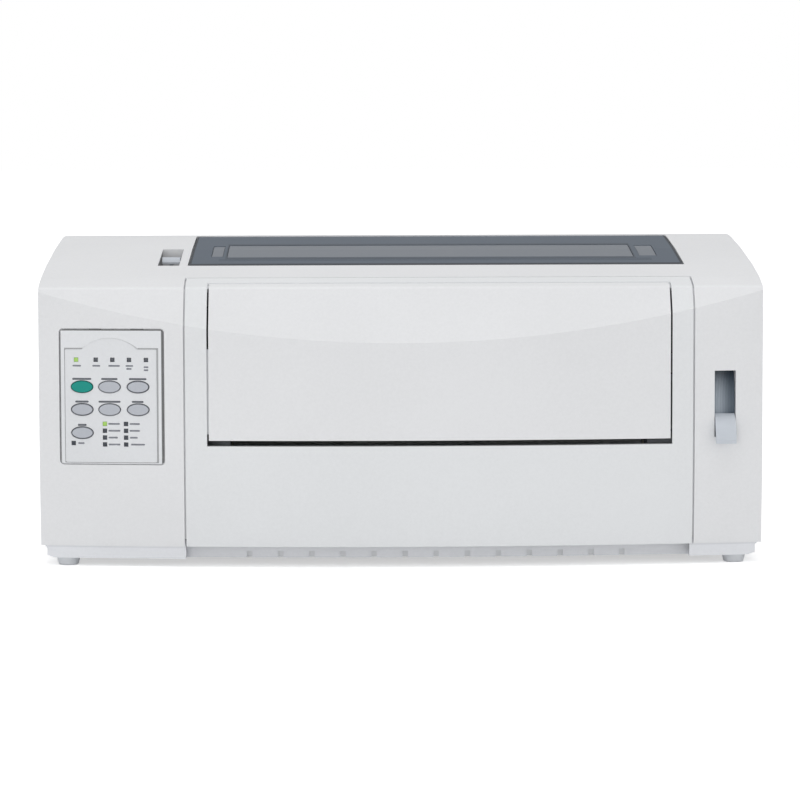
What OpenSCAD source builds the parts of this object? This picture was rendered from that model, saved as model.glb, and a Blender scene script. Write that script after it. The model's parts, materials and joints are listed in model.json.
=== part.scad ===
// Wide-carriage dot matrix printer with a smoked ribbon cover, a lift-up front flap,
// a front push tractor feed and a full print mechanism. Millimetres, +Z up, +X to the
// right as seen from the front. Depths are counted from the foremost point of the
// casing, and every piece is moved forward by half the depth in the end.

/* [Casing] */
// Width of the casing
body_w = 590; // [586:1:600]
// Depth of the casing
body_d = 330; // [328:1:345]
// Height of the deck at the back
deck_h = 263; // [260:0.5:267]
// Height of the crest where the front turns into the deck
crest_z = 227.5; // [225:0.5:230]
// Distance of the crest behind the foremost point
crest_y = 26; // [24.5:0.5:28]
// Height at which the middle of the front starts to lean back
crease_z = 183; // [179:1:187]
// How far the front bows forward in the middle
bow = 24; // [21:1:26]
// How far the lower edge of the front is tucked back
tuck = 6; // [4:0.5:8]
// Height of the casing's lower edge
skirt_z = 17; // [16:0.5:18]
// Thickness of the housing wall
wall = 3; // [2.8:0.1:3.4]
// Seam between two covers
seam = 1.4; // [1.2:0.1:1.6]
// Underside of the base pan
base_z = 6.5; // [5.5:0.5:7]
// Thickness of the base pan
base_t = 2.5; // [2.2:0.1:3]

/* [Front cover and flap] */
// Width of the column that holds the operator panel
panel_col = 119; // [117:0.5:121]
// Width of the column that holds the select lever
lever_col = 57; // [56:0.5:59]
// Rear edge of the deck strip that the front cover wraps over
cover_back = 51; // [50:0.5:54]
// Thickness of the front cover, the flap and the ribbon cover
skin = 2.5; // [2.3:0.1:2.7]
// Strip of the front cover left beside the flap
flap_side = 19.5; // [18.5:0.5:22]
// Lower edge of the flap
flap_z = 104; // [103:0.5:106]
// Height of the paper slot under the flap
slot_h = 4.6; // [4.4:0.1:5.4]

/* [Ribbon cover] */
// Front edge of the ribbon cover
lid_y = 100; // [99:0.5:101]
// Deck strip behind the paper exit
rear_strip = 21; // [20:0.5:23]
// Frame of the ribbon cover beside the clear print window
window_side = 34; // [32:0.5:36]
// Length of the clear print window
window_len = 67; // [60:1:70]
// Length of the paper exit behind the ribbon cover
exit_len = 13; // [12:0.5:14]

/* [Operator panel] */
// Width of the panel frame
panel_w = 84; // [82:0.5:85]
// Height of the panel frame
panel_h = 109; // [108:0.5:110]
// Width of one oval key
key_w = 17.4; // [16:0.2:17.8]
// Height of one oval key
key_h = 9.2; // [8:0.1:9.4]
// Travel of a key
key_travel = 1.2; // [0.8:0.1:1.4]

/* [Mechanism] */
// Radius of the platen's rubber
platen_r = 20; // [18.5:0.5:20.5]
// Radius of the platen shaft's journals
shaft_r = 5; // [4:0.5:5.5]
// Module of the gears
gear_m = 1.25; // [1.24:0.01:1.28]
// Radius of the carriage's guide rod
rod_r = 6; // [5:0.5:6.5]
// Thickness of the steel side frames
frame_t = 2; // [1.6:0.1:2.4]
// Width of the carriage
carriage_w = 62; // [58:1:66]
// Side of the square tractor shaft
square_w = 8; // [7:0.5:8.5]
// Radius of the tractor support rod
support_r = 4; // [3.5:0.5:4.5]
// Width of one tractor
tractor_w = 20; // [20:0.5:22]

/* [Hidden] */

white = [0.9, 0.91, 0.92];
pale = [0.84, 0.85, 0.87];
steel = [0.72, 0.74, 0.76];
dark = [0.13, 0.14, 0.15];
slate = [0.4, 0.44, 0.48];
natural = [0.93, 0.92, 0.87];
green = [0.1, 0.4, 0.25];

fit = 0.06;     // radial clearance of a running fit
seat = 0.3;     // clearance between pieces that only lie beside each other
over = 1;       // how far a cutter runs past what it cuts
far = 400;      // longer than any cut needs to be
half_w = body_w / 2;
rear_y = body_d - 30;      // rear edge of the deck
bay_l = panel_col - half_w;
bay_r = half_w - lever_col;
bay_x = (bay_l + bay_r) / 2;
lid_x = bay_x - 0.5;
lid_w = bay_r - bay_l - 1;
lid_l = lid_x - lid_w / 2;
lid_r = lid_x + lid_w / 2;
exit_end = rear_y - rear_strip;
lid_end = exit_end - exit_len;
bow_r = (half_w * half_w + bow * bow) / (2 * bow);
floor_z = base_z + base_t;
tuck_top = 125; // the front stands upright above this height
tuck_low = skirt_z - 6;      // and below this one

// ---------- outlines ----------

function cross2(a, b) = a.x * b.y - a.y * b.x;
function unit(v) = v / norm(v);
function line_hit(p, d, q, e) = p + d * cross2(q - p, e) / cross2(d, e);

// Moves every edge of a counter-clockwise convex outline inwards by t
function inset(p, t) = let (n = len(p)) [for (i = [0:n - 1])
    let (a = p[(i + n - 1) % n], b = p[i], c = p[(i + 1) % n],
        d = unit(b - a), e = unit(c - b))
    line_hit(b + t * [-d.y, d.x], d, b + t * [-e.y, e.x], e)];

// Rounds corner i of an outline with radius r[i]
function rounded(p, r) = let (m = len(p)) [for (i = [0:m - 1])
    let (a = p[(i + m - 1) % m], b = p[i], c = p[(i + 1) % m],
        u = unit(a - b), v = unit(c - b), half = acos(u * v) / 2,
        centre = b + unit(u + v) * r[i] / sin(half), reach = r[i] / tan(half),
        s = b + u * reach - centre, s_a = atan2(s.y, s.x), turn = 180 - 2 * half,
        n = r[i] > 0 ? ceil(turn / 9) + 1 : 0)
    for (k = [0:n])
        n == 0 ? b : centre + r[i] * [cos(s_a + turn * k / n), sin(s_a + turn * k / n)]];

lean = crest_y / (crest_z - crease_z);
fore = 6;                  // the side outline reaches this far in front of the bow
rear_z = 226;              // top of the upright back wall
deck_y = [cover_back, lid_y, 0.6 * rear_y, rear_y - 35];
deck_share = [0.194, 0.431, 0.732, 0.98];  // share of the deck's rise at deck_y
deck = [[crest_y, crest_z],
    each [for (i = [0:3]) [deck_y[i], crest_z + (deck_h - crest_z) * deck_share[i]]],
    [rear_y, deck_h]];
function deck_z(y) = lookup(y, deck);

// Side outline of the casing in (y, z), moved inwards by t, with its underside at low
function side_outline(t, low) = let (
    p = [[-fore, low], [body_d, low], [body_d, rear_z], [rear_y, deck_h],
        deck[4], deck[3], deck[2], deck[1], deck[0],
        [-fore, crease_z - fore / lean]],
    r = [0, 0, 24, 12, 300, 300, 300, 120, 5, 0],
    q = inset(p, t))
    rounded([for (i = [0:len(q) - 1]) i < 2 ? [q[i].x, low] : q[i]],
        [for (k = r) k > 0 ? max(k - t, 0.5) : 0]);

// Distance of the front skin behind the foremost point at (x, z)
function tuck_at(z) = z < tuck_top
    ? tuck * pow((tuck_top - max(z, tuck_low)) / (tuck_top - tuck_low), 2) : 0;
function front_y(x, z) = bow_r - sqrt(bow_r * bow_r - x * x) + tuck_at(z);

// ---------- shared shapes ----------

module centred() translate([0, -body_d / 2, 0]) children();
module along_x(x0, x1) translate([x0, 0, 0]) rotate([90, 0, 90]) linear_extrude(x1 - x0) children();
module along_y(y0, y1) translate([0, y1, 0]) rotate([90, 0, 0]) linear_extrude(y1 - y0) children();
module rod_x(r, x0, x1, at) along_x(x0, x1) translate(at) circle(r, $fn = 64);
module rod_y(r, y0, y1, at) along_y(y0, y1) translate(at) circle(r, $fn = 64);
module rod_z(r, z0, z1, at) translate([at.x, at.y, z0]) cylinder(r = r, h = z1 - z0, $fn = 64);
// A span of length along one axis: s measured from c
function span(c, s) = [c + s[0], c + s[1]];
// The span that reaches r to each side of c
function around(c, r) = [c - r, c + r];
module block(x, y, z) translate([x[0], y[0], z[0]]) cube([x[1] - x[0], y[1] - y[0], z[1] - z[0]]);

// A flat rectangle with rounded corners between two corner points
module plate2(a, b, r) {
    translate([a.x + r, a.y]) square([b.x - a.x - 2 * r, b.y - a.y]);
    translate([a.x, a.y + r]) square([b.x - a.x, b.y - a.y - 2 * r]);
    for (x = [a.x + r, b.x - r], y = [a.y + r, b.y - r]) translate([x, y]) circle(r, $fn = 32);
}

// An ellipse of width w and height h
module ellipse2(w, h) polygon([for (k = [0:35]) [w / 2 * cos(10 * k), h / 2 * sin(10 * k)]]);

// A sector of a ring between radii r0 and r1 and two angles
module ring_part2(r0, r1, a0, a1) difference() {
    polygon([[0, 0], for (k = [0:6]) let (a = a0 + (a1 - a0) * k / 6) r1 * 1.05 * [cos(a), sin(a)]]);
    circle(r0, $fn = 96);
    difference() {
        circle(2 * r1, $fn = 96);
        circle(r1, $fn = 96);
    }
}

// The bowed front: a wedge turned about a far upright axis
module bowed_wedge(t) {
    steps = 5;
    spread = ceil(atan(half_w / (bow_r - body_d)) + 0.5);
    outline = [[0, -20], [bow_r - tuck - t, -20],
        each [for (k = [0:steps])
            let (z = tuck_low + (tuck_top - tuck_low) * k / steps) [bow_r - tuck_at(z) - t, z]],
        [bow_r - t, deck_h + 20], [0, deck_h + 20]];
    translate([0, bow_r, 0]) rotate([0, 0, 270 - spread])
        rotate_extrude(angle = 2 * spread, $fn = 720) polygon(outline);
}

// Everything inside the casing's skin, moved inwards by t, from height low upwards
module casing_form(t, low) intersection() {
    along_x(t - half_w, half_w - t) polygon(side_outline(t, low));
    bowed_wedge(t);
}

module skin_layer(t0, t1) difference() {
    casing_form(t0, skirt_z);
    casing_form(t1, skirt_z - 9);
}

// ---------- casing ----------

half_seam = seam / 2;
lid_gap = 1;
rest_t = skin + seat;        // ledges begin this far below the outer skin
ledge_t = rest_t + 2.4;

lid_axis = [lid_end - 8, deck_z(lid_end - 8) - 9];
lid_pin_r = 2.4;
lid_arm = [0.6, 4.2];        // the hinge arms' span inside the lid's ends
web_w = 3.4;                 // thickness of the housing's hinge webs

panel_x = 59.9 - half_w;
panel_z = 139.4;
panel_gap = 1;
panel_a = [panel_x - panel_w / 2, panel_z - panel_h / 2];
panel_b = [panel_x + panel_w / 2, panel_z + panel_h / 2];

lever_x = half_w - 31.2;     // middle of the select lever's slot
lever_slot = [17.6, 54.2];
lever_axis = [62, 131.6];
pocket_x = [bay_l - 26, bay_l - 8];     // recess of the thickness lever
pocket_y = [lid_y - 0.5, lid_y + 83];
knob_r = 16;
well_r = knob_r + 5;
well_x = half_w - 33;        // inner end of the knob's well
boss_x = half_w - 12;
boss_xy = [[1 - boss_x, 56], [boss_x - 1, 56], [-boss_x, rear_y], [boss_x, rear_y], [0, rear_y + 6]];
frame_l = bay_l - 6;         // inner face of the left side frame
frame_r = bay_r + 4;         // inner face of the right side frame
inlet = [59 - half_w, 46];
rocker_at = inlet + [30, 0];
board_x = frame_l + 22;      // left edge of the main board
port_x = [board_x + 20, board_x + 100];
port_z = 41;
key_dx = [-24.3, -1.8, 21.5];
key_dz = [8.1, -10.4, -29.4];

platen = [lid_y + 78, 178];
rail = [lid_y + 18, 160];
tractor = [lid_y - 26, 90];
support = [tractor.x - 26, 86];

module rounded_hole_y(a, b, r, y0, y1) along_y(y0, y1) plate2(a, b, r);

module vent_row(n, pitch, size) for (k = [0:n - 1]) translate([k * pitch, 0, 0]) cube(size);

// Ledges that the front cover and the ribbon cover lie on
module housing_ledges() {
    intersection() {
        skin_layer(wall - 0.2, ledge_t);
        for (x = [bay_l, bay_r]) block([x - 5, x + 5], [-fore, cover_back + 5], [skirt_z + 6, far]);
    }
    intersection() {
        skin_layer(wall - 0.2, ledge_t);
        union() {
            block([bay_l - 5, bay_r + 5], [cover_back - 4, cover_back + 5], [200, far]);
            block([lid_l - 4, lid_r + 4], [lid_y - 5, lid_y + 4], [200, far]);
            for (x = [lid_l, lid_r]) block([x - 5, x + 4], [lid_y - 5, lid_end - 34], [200, far]);
        }
    }
}

module housing_hinges() for (s = [0, 1]) {
    x = s == 0 ? lid_l - lid_gap - web_w : lid_r + lid_gap;
    along_x(x, x + web_w) polygon([lid_axis + [-15, 6], lid_axis + [-8, -7], lid_axis + [8, -7],
        [exit_end + 4, deck_h - 8], [exit_end + 4, deck_h - 2],
        [lid_end - 26, deck_z(lid_end - 26) - 2]]);
}

// The pocket of the thickness lever: a ramp, a sunken floor and side walls
module lever_pocket(t) along_x(pocket_x[0] - t, pocket_x[1] + t) polygon([
    [pocket_y[0] - t, deck_z(pocket_y[0]) + (t > 0 ? -0.5 : 1)],
    [pocket_y[0] - t, deck_z(pocket_y[0]) - 0.5 - t],
    [pocket_y[0] + 18, deck_z(pocket_y[0]) - 7 - t],
    [pocket_y[1] + t, deck_z(pocket_y[0]) - 7 - t],
    [pocket_y[1] + t, deck_z(pocket_y[1]) + (t > 0 ? -0.5 : 1)]]);

thick_pivot = [pocket_y[0] + 50, deck_z(pocket_y[0]) - 24];
thick_x = (pocket_x[0] + pocket_x[1]) / 2;

module housing_bosses(r, z0, z1) for (p = boss_xy) rod_z(r, z0, z1, p);

module top_housing() color(white) centred() difference() {
    union() {
        difference() {
            skin_layer(0, wall);
            block([bay_l - half_seam, bay_r + half_seam], [-fore, cover_back + half_seam], [0, far]);
            block([lid_l - lid_gap, lid_r + lid_gap], [lid_y - lid_gap, exit_end], [200, far]);
            rounded_hole_y(panel_a - panel_gap * [1, 1], panel_b + panel_gap * [1, 1], 3.5, -fore, 60);
        }
        housing_ledges();
        housing_hinges();
        // frame that carries the operator panel
        intersection() {
            skin_layer(rest_t, ledge_t);
            difference() {
                rounded_hole_y(panel_a - [5, 5], panel_b + [5, 5], 8, -fore, 60);
                rounded_hole_y(panel_a + [4, 3], panel_b - [4, 4], 4, -fore, 60);
            }
        }
        // well of the select lever
        intersection() {
            casing_form(wall - 0.2, skirt_z);
            difference() {
                block(around(lever_x, lever_slot.x / 2 + 1.6), [10, 66],
                    around(lever_axis.y, lever_slot.y / 2 + 1.6));
                block(around(lever_x, lever_slot.x / 2), [0, 70],
                    around(lever_axis.y, lever_slot.y / 2 + 9));
            }
        }
        // pocket of the thickness lever
        intersection() {
            casing_form(wall - 0.2, skirt_z);
            lever_pocket(1.6);
        }
        for (x = pocket_x) block(x < thick_x ? [x - 1.6, x + 1] : [x - 1, x + 1.6],
            around(thick_pivot.x, 6), [thick_pivot.y - 6, deck_z(pocket_y[0]) - 6]);
        // well of the platen knob
        rod_x(well_r + 2, well_x, half_w - wall + 0.2, platen);
        // screw bosses and wall ribs
        intersection() {
            casing_form(wall - 0.2, skirt_z);
            union() {
                housing_bosses(5, floor_z + 12, 60);
                for (p = boss_xy) if (abs(p.x) > 100)
                    block(p.x < 0 ? [-half_w, p.x] : [p.x, half_w], span(p.y, [-1, 1]), [30, 60]);
                    else block(span(p.x, [-1, 1]), [p.y, body_d], [30, 60]);
                for (x = [65 - half_w, half_w - 29], y = [rear_y - 70, rear_y - 20])
                    block(around(x, 26), [y, y + 2], [deck_z(y) - 16, far]);
            }
        }
    }
    intersection() {
        block(around(lever_x, lever_slot.x / 2), [-fore, 40], around(lever_axis.y, lever_slot.y / 2));
        casing_form(-over, skirt_z);
    }
    lever_pocket(0);
    // slot for the thickness lever's arm in the pocket's floor
    block(around(thick_x, 3), [pocket_y[0] + 22, pocket_y[1] - 4],
        span(deck_z(pocket_y[0]), [-14, -4]));
    rod_x(2.4 + fit, pocket_x[0] - 3, pocket_x[1] + 3, thick_pivot);
    rod_x(1.5 + fit, lever_x - lever_slot.x / 2 - 3, lever_x + lever_slot.x / 2 + 3, lever_axis);
    rod_x(well_r, well_x + 2, half_w + over, platen);
    rod_x(shaft_r + 1.5, well_x - over, well_x + 3, platen);
    rod_x(lid_pin_r + fit, lid_l - 9, lid_r + 9, lid_axis);
    // pilot holes of the housing screws
    housing_bosses(1.6, 0, 50);
    // openings for the sockets in the back wall
    through_back = around(body_d, 9);
    block(around(inlet.x, 14.5), through_back, around(inlet.y, 12.5));
    block(around(rocker_at.x, 11.5), through_back, around(rocker_at.y, 12.5));
    block([port_x[0] - 34, port_x[1] + 22], through_back, around(port_z, 12));
    // cooling slots in the back wall and in both side walls
    translate([23 - half_w, body_d - 9, 92]) vent_row(16, 6, [2.6, 20, 34]);
    translate([half_w - 135, body_d - 9, 92]) vent_row(18, 6, [2.6, 20, 34]);
    for (k = [0:15]) block(around(-half_w, 9), span(body_d - 140 + 7 * k, [0, 2.8]), [150, 184]);
    for (k = [0:9]) block(around(half_w, 9), span(body_d - 98 + 7 * k, [0, 2.8]), [60, 94]);
}

// Straight slots across the pan's floor
module floor_slots(x, y, n, pitch, len) for (k = [0:n - 1])
    block([x, x + len], [y + k * pitch, y + k * pitch + 3], [0, floor_z + 1]);

pan_t = wall + seat;
recess_t = 15;               // how far the pan steps back under the front cover

module pan_layer(t) difference() {
    casing_form(t, base_z);
    casing_form(t + base_t, floor_z);
}

module base_pan() color(pale) centred() difference() {
    union() {
        intersection() {
            pan_layer(pan_t);
            block([-far, far], [-fore, far], [0, skirt_z + 5.5]);
        }
        intersection() {
            pan_layer(recess_t);
            block([bay_l - 1, bay_r - 1], [-fore, 60], [0, skirt_z + 4]);
        }
        // side cheeks of the recess
        intersection() {
            casing_form(pan_t, base_z);
            for (x = [bay_l - 1, bay_r - 1.5])
                block(around(x, 1.25), [-fore, 30], [base_z, skirt_z + 4]);
        }
        for (p = boss_xy) rod_z(6.5, floor_z - 0.5, floor_z + 12, p);
        // stiffening ribs on the floor
        for (k = [0:4])
            block(span(bay_l + 36 + k * (bay_r - bay_l - 80) / 4, [0, 2]), [60, body_d - 144],
                span(floor_z, [-0.5, 5]));
        for (y = [58, body_d - 144])
            block([frame_l + 32, frame_r - 30], [y, y + 2], span(floor_z, [-0.5, 5]));
    }
    // step back under the front cover, with the row of notches in its lower edge
    difference() {
        block([bay_l, bay_r - 2.5], [-fore, 40], [-1, skirt_z + 12]);
        casing_form(recess_t, base_z - 9);
    }
    for (k = [0:12]) block(around(bay_x - 155.2 + notch_pitch * k, 2.2), [-fore, 33], [0, base_z + 5.5]);
    // slanted outer ends
    for (s = [-1, 1]) along_y(-fore - over, body_d + over) polygon([
        [s * (half_w - pan_t + 1), base_z - 1], [s * (half_w - pan_t + 1), skirt_z - 1.5],
        [s * (half_w - pan_t - 1), skirt_z - 1.5], [s * (half_w - pan_t - 10), base_z - 1]]);
    // screw wells, foot sockets and cooling slots
    for (p = boss_xy) {
        rod_z(2, -1, 40, p);
        rod_z(4, -1, floor_z + 5, p);
    }
    for (x = [-1, 1], y = foot_y) rod_z(3, -1, floor_z + 1, [x * foot_x, y]);
    floor_slots(25 - half_w, body_d - 150, 12, 8, 60);
    floor_slots(bay_x + 9, body_d - 124, 10, 8, 90);
    floor_slots(bay_x - 151, body_d - 124, 10, 8, 90);
    floor_slots(bay_r - 28, 100, 8, 8, 30);
}

notch_pitch = 25.4;
foot_x = half_w - 23;
foot_y = [40, body_d - 34];
foot_r = 7.5;

module rubber_feet() color(pale) centred()
for (x = [-1, 1], y = foot_y) translate([x * foot_x, y, 0]) difference() {
    union() {
        cylinder(r1 = foot_r - 1.5, r2 = foot_r, h = base_z, $fn = 64);
        translate([0, 0, base_z - 0.5]) cylinder(r = 3 - fit, h = base_t + 0.5, $fn = 48);
        translate([0, 0, floor_z]) cylinder(r1 = 4.2, r2 = 2.6, h = 2.5, $fn = 48);
    }
    translate([0, 0, -1]) cylinder(r = 4, h = 2.5, $fn = 48);
}

// ---------- front cover and flap ----------

flap_x = bay_x + 0.25;
flap_w = bay_r - bay_l - 2 * flap_side;
flap_l = flap_x - flap_w / 2;
flap_r = flap_x + flap_w / 2;
flap_gap = 1.5;
knuckle_r = 3.2;
flap_axis = [crest_y + 8.5, deck_z(crest_y + 8.5) - knuckle_r * 1.03];
flap_pin_r = 1.5;
ear_w = 4;
stop_t = rest_t + 2;

module front_cover() color(pale) centred() difference() {
    union() {
        difference() {
            intersection() {
                skin_layer(0, skin);
                block([bay_l + half_seam, bay_r - half_seam], [-fore, cover_back - half_seam], [0, far]);
            }
            flap_hole = [flap_l - flap_gap, flap_r + flap_gap];
            block(flap_hole, [-fore, flap_axis.x], [flap_z - slot_h, far]);
            block(flap_hole, [-fore, flap_axis.x + knuckle_r - 0.3], [200, far]);
        }
        // stops behind the flap's sides
        intersection() {
            skin_layer(skin - 0.2, stop_t);
            for (x = [flap_l - flap_gap - 5, flap_r + flap_gap])
                block([x, x + 5], [-fore, 20], [skirt_z + 6, crest_z - 13.5]);
        }
        intersection() {
            skin_layer(rest_t, stop_t);
            for (s = [0, 1]) block(s == 0 ? [flap_l - flap_gap - 1, flap_l + 3]
                : [flap_r - 3, flap_r + flap_gap + 1], [-fore, 12], [flap_z + 5, crease_z - 5]);
        }
        // hinge ears
        intersection() {
            casing_form(skin - 0.2, skirt_z);
            for (s = [0, 1]) {
                x = s == 0 ? flap_l - 0.5 - ear_w : flap_r + 0.5;
                along_x(x, x + ear_w) translate(flap_axis) {
                    circle(5, $fn = 48);
                    translate([-4, 0]) square([14, 12]);
                }
            }
        }
        // rib and return lip along the paper slot and along the lower edge
        intersection() {
            skin_layer(skin - 0.2, 9);
            union() {
                block([bay_l + 8, bay_r - 8], [-fore, 40], span(flap_z - slot_h, [-2.2, 0]));
                for (k = [0:4]) block(span(bay_l + 56 + k * (bay_r - bay_l - 114) / 4, [0, 1.8]),
                    [-fore, 40], [skirt_z + 4, flap_z - slot_h - 1]);
            }
        }
        intersection() {
            skin_layer(skin - 0.2, 8);
            block([bay_l + 8, bay_r - 8], [-fore, 40], [skirt_z, skirt_z + 2]);
        }
    }
    rod_x(flap_pin_r + fit, flap_l - 9, flap_r + 9, flap_axis);
    // clearance round the flap's knuckle
    rod_x(knuckle_r + 0.45, flap_l - 0.5, flap_r + 0.5, flap_axis);
}

module front_flap() color(white) centred() {
    intersection() {
        skin_layer(0, skin);
        block([flap_l, flap_r], [-fore, flap_axis.x + 0.4], [flap_z, far]);
    }
    rod_x(knuckle_r, flap_l, flap_r, flap_axis);
    // stiffening ribs across and along the inside
    intersection() {
        skin_layer(skin - 0.2, 6.5);
        union() {
            for (k = [0:5]) block(span(flap_l + 12 + k * (flap_w - 26) / 5, [0, 1.8]),
                [-fore, crest_y + 4], [flap_z + 4, far]);
            block([flap_l + 8, flap_r - 8], [-fore, 40], span(flap_z, [0, 2.2]));
        }
    }
    rod_x(flap_pin_r, flap_l - 0.5 - ear_w + 0.4, flap_r + 0.5 + ear_w - 0.4, flap_axis);
}

// ---------- ribbon cover ----------

window_shift = 3.8;          // the window sits this far left of the cover's middle
window_a = [lid_l + window_side - window_shift, lid_y + 39.5];
window_b = [lid_r - window_side - window_shift, window_a.y + window_len];
rim = 3;                     // the window pane's flange
end_windows = [span(window_a.x - 13.2, [0, 10]), span(window_b.x + 4.8, [0, 15])];

module window_hole(grow, z0) {
    block([window_a.x - grow, window_b.x + grow], [window_a.y - grow, window_b.y + grow], [z0, far]);
    for (e = end_windows) block(e + grow * [-1, 1],
        [window_a.y + 4 - grow, window_b.y - 6 + grow], [z0, far]);
}

module ribbon_cover() color(slate) centred() difference() {
    union() {
        intersection() {
            skin_layer(0, skin);
            block([lid_l, lid_r], [lid_y, lid_end], [200, far]);
        }
        // turned-down rim
        intersection() {
            skin_layer(skin - 0.2, 8);
            union() {
                block([lid_l + 5, lid_r - 5], [lid_y + 5, lid_y + 7], [200, far]);
                block([lid_l + 5, lid_r - 5], [lid_end - 2.2, lid_end], [200, far]);
                for (x = [lid_l + 5, lid_r - 7]) block([x, x + 2], [lid_y + 5, lid_end], [200, far]);
            }
        }
        for (s = [0, 1]) {
            x = s == 0 ? lid_l + lid_arm[0] : lid_r - lid_arm[1];
            along_x(x, x + lid_arm[1] - lid_arm[0]) {
                translate(lid_axis) circle(5.2, $fn = 48);
                polygon([lid_axis + [-5.2, 0], lid_axis + [5.2, 0],
                    [lid_end - 1, deck_z(lid_end) - 1.5], [lid_end - 24, deck_z(lid_end - 24) - 1.5]]);
            }
        }
        rod_x(lid_pin_r, lid_l - lid_gap - web_w + 0.2, lid_l + lid_arm[1], lid_axis);
        rod_x(lid_pin_r, lid_r - lid_arm[1], lid_r + lid_gap + web_w - 0.2, lid_axis);
    }
    window_hole(0, 200);
    // rebate for the window pane's flange on the underside
    intersection() {
        casing_form(1.2, skirt_z);
        window_hole(rim, 200);
    }
    // shallow grooves in front of the window
    for (k = [0:2]) block([lid_l + 24, lid_r - 24], span(lid_y + 22 + 4 * k, [0, 0.8]),
        [deck_z(lid_y + 22) - 0.5, far]);
}

module ribbon_cover_window() color([0.5, 0.53, 0.56, 0.6]) centred() {
    intersection() {
        skin_layer(1.2, skin);
        window_hole(rim, 200);
    }
    intersection() {
        skin_layer(0.3, 1.3);
        window_hole(-0.1, 200);
    }
}

module tear_bar() color(steel) centred() {
    z = deck_z(exit_end) - 3.4;
    teeth = 110;
    x0 = lid_l + 14;
    pitch = (lid_w - 28) / teeth;
    translate([0, 0, z - 1.2]) linear_extrude(1.2) polygon([
        each [for (k = [0:teeth]) each [[x0 + k * pitch, exit_end - 5],
            if (k < teeth) [x0 + (k + 0.5) * pitch, exit_end - 6]]],
        [lid_r - 14, exit_end + 12], [x0, exit_end + 12]]);
    // bent mounting tabs that reach up to the housing
    for (x = [lid_l + 40, lid_x - 7, lid_r - 54])
        block([x, x + 14], [exit_end + 4, exit_end + 12], [z - 0.1, deck_z(exit_end + 4) - wall + 0.02]);
}

// ---------- operator panel ----------

function key_at(i) = [panel_x + key_dx[i % 3], panel_z + key_dz[floor(i / 3)]];
light_xz = [for (x = [-29, -12.9, 0.7, 14.3, 28.1]) [panel_x + x, panel_z + 30.1],
    for (x = [-5.9, 11.4], k = [0:3]) [panel_x + x, panel_z - 22 - 5.6 * k],
    [panel_x - 31.6, panel_z - 37.9]];
overlay_a = [panel_x - 38.2, panel_z - 53.4];
overlay_b = [panel_x + 36.7, panel_z + 38.6];
overlay_t = 0.5;
notch_r = 32.4;              // finger notch above the overlay
notch_rise = 9.1;

module overlay_form(grow) along_y(-fore, 60) {
    plate2(overlay_a - [grow, grow], overlay_b + [grow, grow], 1.2);
    translate([panel_x - 1.9, overlay_b.y + notch_rise - notch_r + grow]) circle(notch_r, $fn = 96);
}

module key_holes(w, h) for (i = [0:6]) translate(key_at(i)) ellipse2(w, h);

module panel_bezel() color(pale) centred() {
    difference() {
        intersection() {
            skin_layer(0.2, skin);
            rounded_hole_y(panel_a, panel_b, 2.5, -fore, 60);
        }
        difference() {
            overlay_form(0.2);
            casing_form(0.2 + overlay_t + 0.2, skirt_z);
        }
        along_y(-fore, 60) key_holes(key_w + 2 * key_gap, key_h + 2 * key_gap);
        along_y(-fore, 60) for (p = light_xz) translate(p) square(3.6, center = true);
    }
    // posts for the circuit board behind the panel
    intersection() {
        difference() {
            casing_form(skin - 0.2, skirt_z);
            block([-far, far], [board_y, far], [0, far]);
        }
        for (p = post_xz) rod_y(2.6, 0, 60, p);
    }
    // two snap tabs on the top edge
    for (x = [panel_x - 13.4, panel_x + 20.6]) intersection() {
        skin_layer(0.5, skin - 0.4);
        block(around(x, 5), [-fore, 60], span(panel_b.y, [-1, 0.7]));
    }
}

module panel_overlay() color(white) centred() difference() {
    intersection() {
        skin_layer(0.2 + 0.2, 0.2 + 0.2 + overlay_t);
        overlay_form(0);
    }
    along_y(-fore, 60) key_holes(key_w + 2 * key_gap + 0.2, key_h + 2 * key_gap + 0.2);
    along_y(-fore, 60) for (p = light_xz) translate(p) square(3.6, center = true);
}

board_y = 32.5;
board_t = 1.6;
post_xz = [for (x = [-31, 31], z = [-47, 43]) [panel_x + x, panel_z + z]];
key_gap = 0.6;               // clear width of the dark line round each key

module panel_lights() color([0.12, 0.3, 0.14]) centred() intersection() {
    casing_form(0.3, skirt_z);
    for (p = light_xz) block(around(p.x, 1.6), [0, board_y], around(p.y, 1.6));
}

module panel_board() color(green) centred() {
    difference() {
        block(around(panel_x, 36), [board_y, board_y + board_t], span(panel_z, [-51, 48]));
        for (p = post_xz) rod_y(1, 0, 60, p);
    }
    // switches under the keys, a connector and a controller chip
    for (i = [0:6]) {
        block(around(key_at(i).x, 3), [board_y - 3.5, board_y], around(key_at(i).y, 3));
        rod_y(1.6, switch_tip, board_y - 3.5, key_at(i));
    }
    board_back = board_y + board_t;
    block(around(panel_x, 12), [board_back, board_back + 7], span(panel_z, [-46, -40]));
    block(around(panel_x, 8), [board_back, board_back + 2], span(panel_z, [-16, 0]));
}

switch_tip = board_y - 3.5 - 0.5;
key_proud = 0.5;
key_skirt = 1.1;             // thickness of the flange behind the bezel

// Upright slab that follows the bow behind the span x, between two depths under the skin
module bow_slab(at, w, t0, y1) {
    z = at.y;
    translate([0, 0, z - 20]) linear_extrude(40) polygon([
        [at.x - w, front_y(at.x - w, z) + t0], [at.x, front_y(at.x, z) + t0],
        [at.x + w, front_y(at.x + w, z) + t0], [at.x + w, y1], [at.x - w, y1]]);
}

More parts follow.
